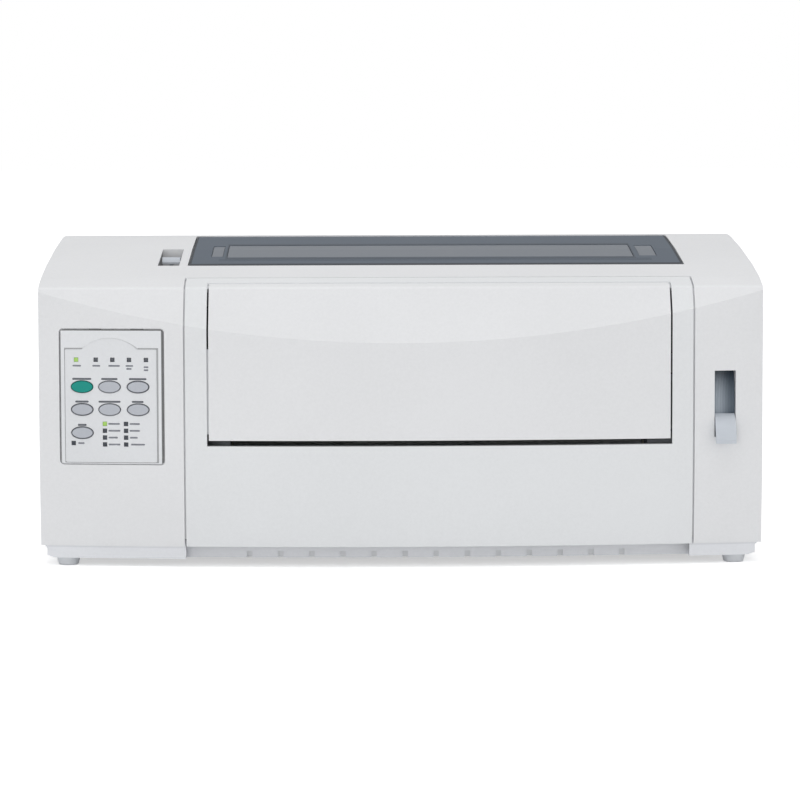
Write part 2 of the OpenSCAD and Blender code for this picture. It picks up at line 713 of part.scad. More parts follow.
// An oval key that follows the casing's bow, with a flange behind the panel frame
module panel_key(i) centred() {
    at = key_at(i);
    back = front_y(abs(at.x) + key_w / 2 + 1.2, at.y) + skin + seat + key_skirt;
    intersection() {
        bow_slab(at, key_w, -key_proud, back);
        along_y(-fore, back) translate(at) ellipse2(key_w, key_h);
    }
    intersection() {
        bow_slab(at, key_w, skin + seat + 0.1, back);
        along_y(0, back) translate(at) ellipse2(key_w + 2.8, key_h + 2.8);
    }
    rod_y(1.6, back - 0.5, switch_tip - key_travel - 0.1, at);
}

// ---------- levers ----------

shutter_r = lever_axis.x - front_y(lever_x + 12, lever_axis.y) - wall - 1;
lever_rest = -20;

module select_lever() color(pale) centred() {
    w = lever_slot.x / 2;
    difference() {
        union() {
            along_x(lever_x - w + seat, lever_x + w - seat) translate(lever_axis) {
                ring_part2(shutter_r - 1.8, shutter_r, 180 - lever_rest - 72, 180 - lever_rest + 72);
            }
            along_x(lever_x - w + seat, lever_x + w - seat) translate(lever_axis)
                rotate(180 - lever_rest) translate([0, -2]) square([shutter_r - 1, 4]);
            // finger tab that leans down and outwards, with a turned-down tip
            along_x(lever_x - w + 0.6, lever_x + w - 0.6) translate(lever_axis)
                rotate(180 - lever_rest) translate([shutter_r, 0]) polygon([[-1, -5], [7, -4.6],
                    [15, -1.5], [20.5, 3], [23.4, 8.5], [22.8, 12.2], [20.2, 12.4], [18, 8.2],
                    [13, 3.6], [7, 1.2], [-1, 2.5]]);
            rod_x(4, lever_x - w + seat, lever_x + w - seat, lever_axis);
        }
        rod_x(1, lever_x - w - 9, lever_x + w + 9, lever_axis);
    }
    rod_x(1.5, lever_x - w - 1.3, lever_x + w + 1.3, lever_axis);
}

module thickness_lever() color(pale) centred() {
    arm_r = deck_z(thick_pivot.x) - 6 - thick_pivot.y;
    along_x(thick_x - 1.6, thick_x + 1.6) translate(thick_pivot) {
        circle(5, $fn = 48);
        translate([-2.2, 0]) square([4.4, arm_r + 1]);
    }
    rod_x(2.4, pocket_x[0] - 1.4, pocket_x[1] + 1.4, thick_pivot);
    along_x(pocket_x[0] + 1.4, pocket_x[1] - 1.4) translate(thick_pivot + [0, arm_r])
        polygon([[-6, -1], [6, -1], [6, 1.2], [2.4, 4.6], [-3, 4.6], [-6, 0.6]]);
}

module power_rocker() color(dark) centred() {
    at = [body_d - 3.4, rocker_at.y];
    along_x(rocker_at.x - 6, rocker_at.x + 6) translate(at)
        polygon([[-7, 0], [-1, -8.8], [2, -8.8], [0.6, 0], [2, 8.8], [-1, 8.8]]);
    rod_x(1.4, rocker_at.x - 8.3, rocker_at.x + 8.3, at + [-3, 0]);
}

// ---------- frames and internals ----------

module side_plate(x, holes, belt_window) difference() {
    along_x(x, x + frame_t) difference() {
        polygon([[36, floor_z], [body_d - 44, floor_z], [body_d - 44, 60], platen + [58, -28],
            platen + [36, 28], rail + [2, 48], rail + [-26, 30], [60, 132], [36, 118]]);
        for (h = holes) translate([h[0], h[1]]) circle(h[2], $fn = 64);
        plate2([platen.x + 12, 40], [platen.x + 58, 94], 8);
        plate2([rail.x - 18, 30], [rail.x + 18, 66], 8);
    }
    if (belt_window) block(around(x, 9), span(rail.x, [-24, -10]), around(rail.y, 12));
}
flange_y = [[40, 96], [150, body_d - 48]];    // feet of the side frames

module left_side_frame() color(steel) centred() {
    side_plate(frame_l - frame_t, [[platen.x, platen.y, bush_r], [rail.x, rail.y, rod_r],
        [tractor.x, tractor.y, 4 + fit], [support.x, support.y, support_r]], true);
    for (y = flange_y) block([frame_l - 0.01, frame_l + 14], y, [floor_z, floor_z + frame_t]);
}

module right_side_frame() color(steel) centred() {
    side_plate(frame_r, [[platen.x, platen.y, bush_r], [rail.x, rail.y, rod_r],
        [tractor.x, tractor.y, 4 + fit], [support.x, support.y, support_r],
        [motor_at.x, motor_at.y, 8]], false);
    for (y = flange_y) block([frame_r - 14, frame_r + 0.01], y, [floor_z, floor_z + frame_t]);
    // bracket and post of the belt's idler pulley
    block([pulley_rx - 7, frame_r + 0.01], span(pulley_y[1], [1.5, 3.5]), around(belt_z, 7));
    rod_y(2.5, pulley_y[0] - 3, pulley_y[1] + 2, [pulley_rx, belt_z]);
    // post for the transfer gear, with its washer
    rod_x(4, frame_r + 0.5, gear_x + gear_w + 1.8, transfer);
    rod_x(8, frame_r + 0.5, gear_x - seat, transfer);
    rod_x(6.5, gear_x + gear_w + seat, gear_x + gear_w + 1.5, transfer);
}

bush_r = shaft_r + 3;
flange_t = 1.8;
module platen_bushes() color(natural) centred() for (s = [-1, 1]) difference() {
    inner = s < 0 ? frame_l : frame_r;
    low = s < 0 ? [-frame_t, 0] : [-flange_t, -flange_t];
    high = s < 0 ? [flange_t, flange_t] : [frame_t, 0];
    union() {
        rod_x(bush_r, inner + low[0], inner + high[0], platen);
        rod_x(bush_r + 3, inner + low[1], inner + high[1], platen);
    }
    rod_x(shaft_r + fit, frame_l - 9, frame_r + 9, platen);
}

rod_x0 = frame_l - frame_t - 2;
rod_x1 = frame_r + frame_t + 1;
module carriage_rail() color(steel) centred() rod_x(rod_r, rod_x0, rod_x1, rail);
module tractor_rail() color(steel) centred() rod_x(support_r, rod_x0, rod_x1, support);
guide_at = rail + [18, -14];
module guide_bar() color(steel) centred() along_x(frame_l, frame_r) translate(guide_at) {
    square([8, 3]);
    translate([6.5, -6]) square([1.5, 7]);
}

module cross_beam() color(steel) centred() along_x(frame_l, frame_r) translate(platen + [18, -78]) {
    translate([0, 8]) square([34, 2]);
    square([2, 9]);
    translate([32, 0]) square([2, 9]);
}

// Sheet that leads the paper from the tractors up to the platen
module paper_chute() color(pale) centred() {
    line = [[lid_y + 0.5, 107], [platen.x - 40, 122], [platen.x - 27, 134], [platen.x - 23.5, 152]];
    along_x(frame_l, frame_r) polygon(concat(line, [for (i = [3:-1:0]) line[i] + [1.2, -1.2]]));
    rib_pitch = (frame_r - frame_l - 64) / 9;
    for (k = [0:9]) along_x(frame_l + 32 + rib_pitch * k, frame_l + 33.6 + rib_pitch * k) polygon([
        [106, 109], line[1] - [0, 0.1], line[2] - [0.1, 0], line[2] + [-2, 0.6], line[1] + [-1, 2],
        [106, 110.6]]);
}

// ---------- gears ----------

gear_x = frame_r + frame_t + 2.5;
gear_w = 6;
z_platen = 48;
z_transfer = 68;
z_tractor = 40;
z_motor = 12;
press_angle = 25;
backlash = 0.16;
mesh_gap = 0.02;             // added to every distance between two meshing gears
function gear_reach(a, b) = (a + b) * gear_m / 2;

// Where two circles about p and q with radii a and b meet, on the left of p-q
function meet(p, q, a, b) = let (d = norm(q - p), u = (q - p) / d,
    s = (a * a - b * b + d * d) / (2 * d), h = sqrt(a * a - s * s)) p + u * s + h * [-u.y, u.x];
transfer = meet(tractor, platen, gear_reach(z_tractor, z_transfer) + mesh_gap,
    gear_reach(z_transfer, z_platen) + mesh_gap);
motor_dir = -62;
motor_at = transfer + (gear_reach(z_transfer, z_motor) + mesh_gap) * [cos(motor_dir), sin(motor_dir)];

// Turns a follower so that its gap meets the driver's tooth
function line_angle(p, q) = atan2(q.y - p.y, q.x - p.x);
function follow(p, q, z1, z2, phase) = let (a = line_angle(p, q), u = (a - phase) * z1 / 360)
    a + 180 + (u - 0.5) * 360 / z2;
phase_transfer = follow(platen, transfer, z_platen, z_transfer, 0);
phase_tractor = follow(transfer, tractor, z_transfer, z_tractor, phase_transfer);
phase_motor = follow(transfer, motor_at, z_transfer, z_motor, phase_transfer);

// Involute spur gear in the plane
module gear2(z, phase) {
    pitch_r = z * gear_m / 2;
    base_r = pitch_r * cos(press_angle);
    tip_r = pitch_r + 0.8 * gear_m;
    root_r = pitch_r - 1.05 * gear_m;
    flank = 4;
    half_tooth = 90 / z - backlash / (2 * pitch_r) * 180 / PI;
    inv_pitch = tan(press_angle) - press_angle * PI / 180;
    function inv_at(r) = r <= base_r ? 0 : let (a = acos(base_r / r)) tan(a) - a * PI / 180;
    function flank_angle(r) = half_tooth + (inv_pitch - inv_at(r)) * 180 / PI;
    start_r = max(base_r, root_r);
    radii = [root_r, for (k = [0:flank]) start_r + (tip_r - start_r) * k / flank];
    polygon([for (i = [0:z - 1]) let (mid = phase + i * 360 / z) each [
        for (r = radii) r * [cos(mid - flank_angle(r)), sin(mid - flank_angle(r))],
        for (k = [flank + 1:-1:0]) let (r = radii[k], a = mid + flank_angle(r)) r * [cos(a), sin(a)]]]);
}

module spur_gear(z, phase, at, bore, spokes) difference() {
    along_x(gear_x, gear_x + gear_w) translate(at) gear2(z, phase);
    rod_x(bore, gear_x - over, gear_x + gear_w + over, at);
    // thinned web with a row of round windows
    if (spokes > 0) {
        web_r = z * gear_m / 2 - 4.5;
        difference() {
            rod_x(web_r, gear_x + 4, gear_x + gear_w + over, at);
            rod_x(bore + 3.5, gear_x, gear_x + gear_w + 2, at);
        }
        mid_r = (web_r + bore + 3.5) / 2;
        for (k = [0:spokes - 1]) rod_x((web_r - bore - 3.5) * 0.36, gear_x - over, gear_x + 5,
            at + mid_r * [cos(k * 360 / spokes), sin(k * 360 / spokes)]);
    }
}

module platen_gear() color(natural) centred() spur_gear(z_platen, 0, platen, shaft_r, 6);
module transfer_gear() color(natural) centred() {
    spur_gear(z_transfer, phase_transfer, transfer, 4 + fit, 5);
}

module tractor_gear() color(natural) centred() spur_gear(z_tractor, phase_tractor, tractor, 4, 6);
module motor_pinion() color([0.8, 0.66, 0.35]) centred() {
    spur_gear(z_motor, phase_motor, motor_at, 2, 0);
    rod_x(2.5, frame_r - 3.5, gear_x + gear_w + 1, motor_at);
}

core_r = platen_r - 5;
module platen_roller() color(dark) centred() difference() {
    translate([frame_l + 6.5, platen.x, platen.y]) rotate([0, 90, 0])
        cylinder(r = platen_r, h = frame_r - frame_l - 13, $fn = 96);
    rod_x(core_r, frame_l, frame_r, platen);
}
module platen_shaft() color(steel) centred() {
    rod_x(core_r, frame_l + 6, frame_r - 6, platen);
    rod_x(shaft_r, frame_l - frame_t - 4, half_w - 12, platen);
}
module platen_knob() color(pale) centred() difference() {
    along_x(well_x + 3, half_w - 1) translate(platen) difference() {
        circle(knob_r, $fn = 96);
        for (k = [0:17]) rotate(k * 20) translate([knob_r + 0.6, 0]) circle(1.5, $fn = 24);
    }
    rod_x(shaft_r, well_x, half_w - 12, platen);
    rod_x(knob_r - 5, half_w - 4, half_w + over, platen);
}

module tractor_shaft() color(steel) centred() {
    along_x(frame_l + 1, frame_r - 1) translate(tractor) square(square_w, center = true);
    rod_x(4, frame_l - frame_t - 4, gear_x + gear_w + 3, tractor);
}

// Stepping motor whose axis lies along X, screwed to the right side frame
module paper_motor() color(dark) centred() {
    difference() {
        union() {
            rod_x(16, frame_r - 34, frame_r - 1.5, motor_at);
            along_x(frame_r - 1.5, frame_r) translate(motor_at) {
                circle(17, $fn = 64);
                translate([-24, -5]) square([48, 10]);
            }
            rod_x(8 - fit, frame_r - 0.5, frame_r + frame_t, motor_at);
        }
        rod_x(2.5 + fit, frame_r - 4, frame_r + 9, motor_at);
    }
}

// ---------- tractors ----------

pin_n = 8;
pin_pitch = 12.7;
pin_circle = pin_n * pin_pitch / (2 * PI);
tractor_x = [frame_l + 32, frame_r - 30];     // middles of the two tractors
hub_r = 7.6;

// Frame of one tractor: two cheeks, a slotted paper plate, a sleeve on the rod
module tractor_frame(x) centred() difference() {
    union() {
        difference() {
            along_x(x - tractor_w / 2, x + tractor_w / 2) translate([tractor.x, 0])
                polygon([[-34, 80], [-18, 69], [16, 69], [24, 84], [24, 105.5],
                    [20, 107.3], [-30, 107.3], [-34, 104]]);
            block(around(x, 7), span(tractor.x, [-20, 21]), [60, 105.6]);
            block(around(x, 2.6), span(tractor.x, [-22, 23]), [100, 120]);
        }
        // hinge knuckles of the door on the outer edge
        for (y = span(tractor.x, [-22, 12])) along_y(y, y + 6) translate(door_pivot(x)) {
            circle(2.2, $fn = 32);
            translate([-1, -3]) square([2, 3]);
        }
    }
    rod_x(hub_r + fit, x - 20, x + 20, tractor);
    rod_x(support_r + fit, x - 20, x + 20, support);
    rod_y(door_pin_r + fit, tractor.x - 35, tractor.x + 26, door_pivot(x));
}
function door_side(x) = x < bay_x ? -1 : 1;
function door_pivot(x) = [x + door_side(x) * (tractor_w / 2 - 1), door_at];
door_pin_r = 1;
door_at = 109.8;

// Door that holds the paper on the pins; its slot clears them
module tractor_door(x) color(pale) centred() {
    s = door_side(x);
    hx = x + s * (tractor_w / 2 - 1);
    x0 = min(hx, hx - s * (tractor_w - 1));
    difference() {
        union() {
            block([x0, x0 + tractor_w - 1], span(tractor.x, [-22, 18]), [108.6, 110.6]);
            for (y = span(tractor.x, [-22, -2]))
                block([x0 + 3, x0 + tractor_w - 4], [y, y + 1], [110, 112.2]);
            block([x0 + 3, x0 + tractor_w - 4], span(tractor.x, [17, 18]), [110, 112.2]);
        }
        block(around(x, 3), span(tractor.x, [-18, 14]), [100, 114]);
        for (y = span(tractor.x, [-22, 12]))
            block(around(hx, 2.6), [y - seat, y + 6 + seat], [100, 120]);
    }
    rod_y(2, tractor.x - 15.6, tractor.x + 11.6, [hx, door_at]);
    rod_y(door_pin_r, tractor.x - 22, tractor.x + 18, [hx, door_at]);
}

module sprocket(x) color(natural) centred() difference() {
    union() {
        rod_x(hub_r, x - tractor_w / 2 - 1, x + tractor_w / 2 + 1, tractor);
        rod_x(14.2, x - 4, x + 4, tractor);
        for (k = [0:pin_n - 1]) translate([x, tractor.x, tractor.y]) rotate([k * 360 / pin_n, 0, 0]) {
            translate([0, 0, 10]) cylinder(r = 1.9, h = pin_circle - 9.6, $fn = 24);
            translate([0, 0, pin_circle + 0.4]) cylinder(r1 = 1.9, r2 = 0.9, h = 1.8, $fn = 24);
        }
    }
    along_x(x - 20, x + 20) translate(tractor) square(square_w + 0.12, center = true);
}

// ---------- carriage ----------

carriage_x = frame_l + 41;
belt_z = rail.y;
pulley_r = 8;
pulley_y = [rail.x - 20, rail.x - 14];
pulley_l = frame_l - 22;
pulley_rx = frame_r - 10;
knob_x = 21;                 // the ribbon's winding knob, from the carriage's middle

// Moves a shape from the rod's middle to the carriage's place on it
module on_carriage() translate([carriage_x, rail.x, rail.y]) children();

module carriage() color(dark) centred() on_carriage() {
    wide = carriage_w + 58;
    guide_top = guide_at.y - rail.y + 3 + seat;
    difference() {
        union() {
            block(around(0, carriage_w / 2), [-10, 28], [-9.5, 10]);
            block(around(0, 24), [-8, 30], [5, 12]);
            block(around(0, 10), [-22, -8], [3, 13]);
            for (x = [-26, 26]) block(around(x, 2), [-6, 28], [8, 30]);
        }
        rod_x(rod_r + fit, -wide / 2, wide / 2, [0, 0]);
        // the belt's upper run passes through, held on its teeth by the lug
        block(around(0, wide / 2), [-18, -14 + seat], span(pulley_r, [0, 1.8]));
        block(around(0, wide / 2), [-20 - seat, -14 + seat], span(pulley_r, [-seat, 1.2 + 2 * seat]));
        // hollow round the rod and clearance over the guide bar
        block(around(0, 18), [-14, 12], [-20, 6]);
        block(around(0, wide / 2), [12, 42], [-20, guide_top + 3]);
    }
    block(around(0, 14), span(guide_at.x - rail.x, [-1, 7]), [guide_top, -4]);
}

module printhead() color([0.3, 0.31, 0.33]) centred() on_carriage() {
    block(around(0, 12), [-2, 24], [12, 26]);
    for (k = [0:6]) block(around(0, 15), span(3.6 * k, [-1, 0.6]), [12, 32]);
    along_x(-4, 4) polygon([[23, 13], [37.6, 16], [37.6, 20], [23, 25]]);
}

module ribbon_cartridge() color(dark) centred() on_carriage() {
    difference() {
        union() {
            block(around(0, carriage_w / 2), [-18, 32], [33, 46]);
            for (s = [-1, 1]) along_y(28, 38.4) polygon([[s * 30, 36], [s * 23, 36], [s * 17, 14],
                [s * 21, 13], [s * 30, 28]]);
            for (x = [-26, 26]) block(around(x, 2), [-4, 26], [30, 34]);
        }
        block(around(0, 20), [-4, 33], [30, 50]);
        rod_z(2 + fit, 35, 60, [knob_x, -12]);
    }
    // the stretch of ribbon in front of the pins
    block(around(0, 19), [38, 38.4], [14.5, 22]);
}

module ribbon_knob() color(slate) centred() on_carriage() translate([knob_x, -12, 0]) difference() {
    union() {
        rod_z(2, 36, 47, [0, 0]);
        rod_z(7, 46.3, 52, [0, 0]);
    }
    for (k = [0:11]) rod_z(0.9, 45, 54, 7.3 * [cos(30 * k), sin(30 * k)]);
}

module pulley(x, bore) difference() {
    union() {
        rod_y(pulley_r - seat, pulley_y[0], pulley_y[1], [x, belt_z]);
        rod_y(pulley_r + 1.4, pulley_y[0] - 1.4, pulley_y[0] - seat, [x, belt_z]);
        rod_y(pulley_r - 1, pulley_y[0] - 0.4, pulley_y[0], [x, belt_z]);
    }
    rod_y(bore, pulley_y[0] - 8, pulley_y[1] + 6, [x, belt_z]);
}
module drive_pulley() color(natural) centred() {
    pulley(pulley_l, 1.5);
    rod_y(2, pulley_y[0] - 2, pulley_y[1] + 9, [pulley_l, belt_z]);
}
module idler_pulley() color(natural) centred() pulley(pulley_rx, 2.5 + fit);

module stadium2(r) {
    for (x = [pulley_l, pulley_rx]) translate([x, belt_z]) circle(r, $fn = 96);
    translate([pulley_l, belt_z - r]) square([pulley_rx - pulley_l, 2 * r]);
}
module drive_belt() color(dark) centred() along_y(pulley_y[0], pulley_y[1]) difference() {
    stadium2(pulley_r + 1.2);
    stadium2(pulley_r);
}

module carriage_motor() color(dark) centred() difference() {
    union() {
        rod_y(17, rail.x - 8, rail.x + 26, [pulley_l, belt_z]);
        along_y(rail.x - 10, rail.x - 8) translate([pulley_l, belt_z]) {
            circle(18, $fn = 64);
            translate([0, -12]) square([frame_l - frame_t - pulley_l, 24]);
        }
    }
    rod_y(2 + fit, rail.x - 18, rail.x - 4, [pulley_l, belt_z]);
}

// ---------- electrics ----------

supply_x = 19 - half_w;      // outer side of the power supply's cage
supply_y = [158, body_d - 42];
supply_w = frame_l - frame_t - 12 - supply_x;
cage_t = 1.2;

module power_supply() color(steel) centred() translate([supply_x, 0, floor_z]) difference() {
    block([0, supply_w], supply_y, [0, 69]);
    block([cage_t, supply_w - cage_t], supply_y + cage_t * [1, -1], [cage_t, 69 - cage_t]);
    for (k = [0:floor((supply_y[1] - supply_y[0] - 14) / 8.6)]) {
        block([8, supply_w - 8], span(supply_y[0] + 7 + 8.6 * k, [0, 4]), [60, 80]);
        block([-9, 6], span(supply_y[0] + 7 + 8.6 * k, [0, 4]), [8, 57]);
    }
}

// Circuit board on six posts, with its chips, capacitors and cooling fins
module main_board() color(green) centred() translate([board_x, body_d - 124, floor_z]) {
    block([0, 256], [0, 92], [6, 7.6]);
    for (x = [10, 130, 246], y = [8, 84]) rod_z(3, 0, 6, [x, y]);
    for (p = [[40, 44, 40, 14], [100, 56, 18, 18], [160, 34, 36, 12], [210, 56, 24, 24]])
        block([p[0], p[0] + p[2]], [p[1], p[1] + p[3]], [7.6, 11]);
    for (k = [0:4]) rod_z(4, 7.6, 20, [220 + 9 * (k % 3), 16 + 10 * floor(k / 3)]);
    for (k = [0:7]) block(span(140 + 5 * k, [0, 1.6]), [6, 26], [7.6, 26]);
}

back_in = body_d - wall - 0.02;    // just inside the back wall
inlet_hole = [[-12, -8.5], [12, -8.5], [12, 4], [7, 8.5], [-7, 8.5], [-12, 4]];

module power_inlet() color(dark) centred() difference() {
    union() {
        block(around(inlet.x, 14.2), [body_d - 26, body_d - 2.6], around(inlet.y, 12.2));
        block([inlet.x - 17, rocker_at.x + 14], [back_in - 1.8, back_in], around(inlet.y, 16));
        block(around(rocker_at.x, 11.2), [body_d - 20, body_d - 1.2], around(rocker_at.y, 12.2));
    }
    difference() {
        along_y(body_d - 20, body_d + 9) polygon([for (p = inlet_hole) inlet + p]);
        for (d = [[-7, -2], [0, 3], [7, -2]])
            block(around(inlet.x + d.x, 1), [body_d - 21, body_d - 6], around(inlet.y + d.y, 2));
    }
    block(around(rocker_at.x, 6.4), [body_d - 14, body_d + 9], around(rocker_at.y, 10.4));
    rod_x(1.4 + fit, rocker_at.x - 8.6, rocker_at.x + 8.6, [body_d - 6.4, rocker_at.y]);
}

module interface_ports() color([0.2, 0.21, 0.23]) centred() difference() {
    union() {
        block(around(port_x[0], 33), [body_d - 24, back_in], around(port_z, 11));
        block(around(port_x[1], 10), [body_d - 22, back_in], around(port_z, 11));
        block([port_x[0] - 38, port_x[1] + 26], [back_in - 1.6, back_in], around(port_z, 15));
    }
    difference() {
        rounded_hole_y([port_x[0] - 27, port_z - 6], [port_x[0] + 27, port_z + 6],
            3, body_d - 15, body_d);
        block(around(port_x[0], 23), [body_d - 16, body_d - 5], around(port_z, 1.4));
    }
    difference() {
        block(around(port_x[1], 6), [body_d - 14, body_d], around(port_z, 5.6));
        block(around(port_x[1], 2.8), [body_d - 15, body_d - 6], around(port_z, 1.2));
    }
}

module case_screws() color(steel) centred() for (p = boss_xy) difference() {
    union() {
        rod_z(3.4, floor_z + 1.5, floor_z + 5, p);
        rod_z(1.6, floor_z + 4, floor_z + 26, p);
    }
    block(around(p.x, 0.4), around(p.y, 2.4), span(floor_z, [1, 2.6]));
    block(around(p.x, 2.4), around(p.y, 0.4), span(floor_z, [1, 2.6]));
}

base_pan();
top_housing();
front_cover();
rubber_feet();
left_side_frame();
right_side_frame();
carriage_rail();
guide_bar();
paper_chute();
tractor_rail();
carriage_motor();
drive_belt();
paper_motor();
power_supply();
main_board();
power_inlet();
interface_ports();
panel_bezel();
panel_overlay();
panel_lights();
panel_board();
case_screws();
tear_bar();
platen_bushes();
cross_beam();
ribbon_cover();
ribbon_cover_window();
front_flap();
select_lever();
thickness_lever();
power_rocker();
color([0.1, 0.6, 0.53]) panel_key(0);  // key_start
color(pale) panel_key(1);  // key_load
color(pale) panel_key(2);  // key_eject
color(pale) panel_key(3);  // key_tear
color(pale) panel_key(4);  // key_line
color(pale) panel_key(5);  // key_tractor
color(pale) panel_key(6);  // key_setup
platen_roller();
platen_shaft();
platen_gear();
platen_knob();
motor_pinion();
transfer_gear();
tractor_gear();
tractor_shaft();
color(pale) tractor_frame(tractor_x[0]);  // tractor_left
color(pale) tractor_frame(tractor_x[1]);  // tractor_right
tractor_door(tractor_x[0]);  // tractor_door_left
tractor_door(tractor_x[1]);  // tractor_door_right
sprocket(tractor_x[0]);  // sprocket_left
sprocket(tractor_x[1]);  // sprocket_right
carriage();
printhead();
ribbon_cartridge();
ribbon_knob();
drive_pulley();
idler_pulley();
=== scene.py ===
import json
import math
import bmesh
import bpy
import numpy as np
from mathutils import Matrix


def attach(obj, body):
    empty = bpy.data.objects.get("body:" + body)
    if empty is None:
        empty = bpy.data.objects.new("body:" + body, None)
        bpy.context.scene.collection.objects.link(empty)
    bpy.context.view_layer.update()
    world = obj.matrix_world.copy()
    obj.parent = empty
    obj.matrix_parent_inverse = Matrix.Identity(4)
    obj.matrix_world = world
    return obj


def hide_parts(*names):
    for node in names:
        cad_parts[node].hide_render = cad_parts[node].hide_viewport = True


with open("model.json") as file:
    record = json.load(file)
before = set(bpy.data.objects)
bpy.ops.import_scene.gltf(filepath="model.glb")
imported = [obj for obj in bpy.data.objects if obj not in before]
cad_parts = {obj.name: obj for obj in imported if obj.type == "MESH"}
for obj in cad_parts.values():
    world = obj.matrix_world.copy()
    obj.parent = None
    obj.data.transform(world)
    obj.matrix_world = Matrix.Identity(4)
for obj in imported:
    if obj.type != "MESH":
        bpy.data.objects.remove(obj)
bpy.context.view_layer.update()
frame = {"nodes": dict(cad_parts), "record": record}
print("frame loaded:", len(frame["nodes"]), "nodes")

mm = 0.001
halfDepth = 165.0           # depths are counted from the foremost point, as in the source
halfWidth = 295.0
bodies = frame["record"]["behaviour"]["bodies"]
bodyOf = {node: body for body, members in bodies.items() for node in members}

# ---- camera -------------------------------------------------------------------------

cameraFacts = {
    "lens": 149.66,
    "place": (-0.0398, -2.8434, 0.3404),
    "pitch": 4.34,          # degrees below the horizon
    "yaw": -0.82,
    "roll": -0.161,
    "clip": (0.1, 50),
}


def placeCamera(facts):
    # the camera's right, up and forward, turned by roll, pitch and yaw in that order
    roll, pitch, yaw = (math.radians(facts[key]) for key in ("roll", "pitch", "yaw"))
    axes = np.array([[math.cos(roll), 0, math.sin(roll)],
                     [-math.sin(roll), 0, math.cos(roll)],
                     [0, 1, 0]])
    c, s = math.cos(pitch), math.sin(pitch)
    axes = axes @ np.array([[1, 0, 0], [0, c, s], [0, -s, c]]).T
    c, s = math.cos(yaw), math.sin(yaw)
    axes = axes @ np.array([[c, -s, 0], [s, c, 0], [0, 0, 1]]).T
    data = bpy.data.cameras.new("camera")
    data.lens = facts["lens"]
    data.clip_start, data.clip_end = facts["clip"]
    camera = bpy.data.objects.new("camera", data)
    bpy.context.scene.collection.objects.link(camera)
    turn = np.eye(4)
    turn[:3, 0], turn[:3, 1], turn[:3, 2] = axes[0], axes[1], -axes[2]
    turn[:3, 3] = facts["place"]
    camera.matrix_world = Matrix(turn.tolist())
    bpy.context.scene.camera = camera


placeCamera(cameraFacts)
print("camera placed")

# ---- the bowed front, in millimetres --------------------------------------------------

bowFacts = {
    "bow": 24.0,             # how far the middle stands out in front of the sides
    "tuck": 6.0,             # how far the low edge is tucked back
    "tuckTop": 125.0,        # height at which the tuck starts
    "tuckLow": 11.0,         # height at which it ends
}


def frontDepth(x, z):
    # depth of the bowed front: an arc across the width, and a parabola that tucks its
    # lower part back
    bow, top, low = bowFacts["bow"], bowFacts["tuckTop"], bowFacts["tuckLow"]
    radius = (halfWidth ** 2 + bow ** 2) / (2 * bow)
    share = np.clip((top - z) / (top - low), 0, 1)
    return radius - np.sqrt(radius ** 2 - x ** 2) + bowFacts["tuck"] * share ** 2


# ---- shader building ----------------------------------------------------------------


def tint(red, green, blue):
    # 0 to 255 screen values to a scene-linear colour
    return tuple(c / 12.92 if c <= 0.04045 else ((c + 0.055) / 1.055) ** 2.4
                 for c in (red / 255, green / 255, blue / 255))


class Wire:
    # an output socket; a sum written with it becomes a Math node
    def __init__(self, finish, socket):
        self.finish, self.socket = finish, socket

    def sums(self, kind, first, second):
        return self.finish.node("Math", {"operation": kind}, {0: first, 1: second})

    def __add__(self, other):
        return self.sums("ADD", self, other)

    __radd__ = __add__

    def __sub__(self, other):
        return self.sums("SUBTRACT", self, other)

    def __rsub__(self, other):
        return self.sums("SUBTRACT", other, self)

    def __mul__(self, other):
        return self.sums("MULTIPLY", self, other)

    __rmul__ = __mul__

    def __truediv__(self, other):
        return self.sums("DIVIDE", self, other)

    def atMost(self, other):
        return self.sums("MINIMUM", self, other)

    def atLeast(self, other):
        return self.sums("MAXIMUM", self, other)

    def below(self, other):
        return self.sums("LESS_THAN", self, other)

    def size(self):
        return self.finish.node("Math", {"operation": "ABSOLUTE"}, {0: self})

    def swing(self, amount):
        # a value about a half, turned into one about nought
        return (self - 0.5) * amount

    def ramp(self, low, high):
        # 0 below low, 1 above high, smooth between
        return self.finish.node("MapRange", {"interpolation_type": "SMOOTHSTEP"},
                                {"Value": self, "From Min": low, "From Max": high})


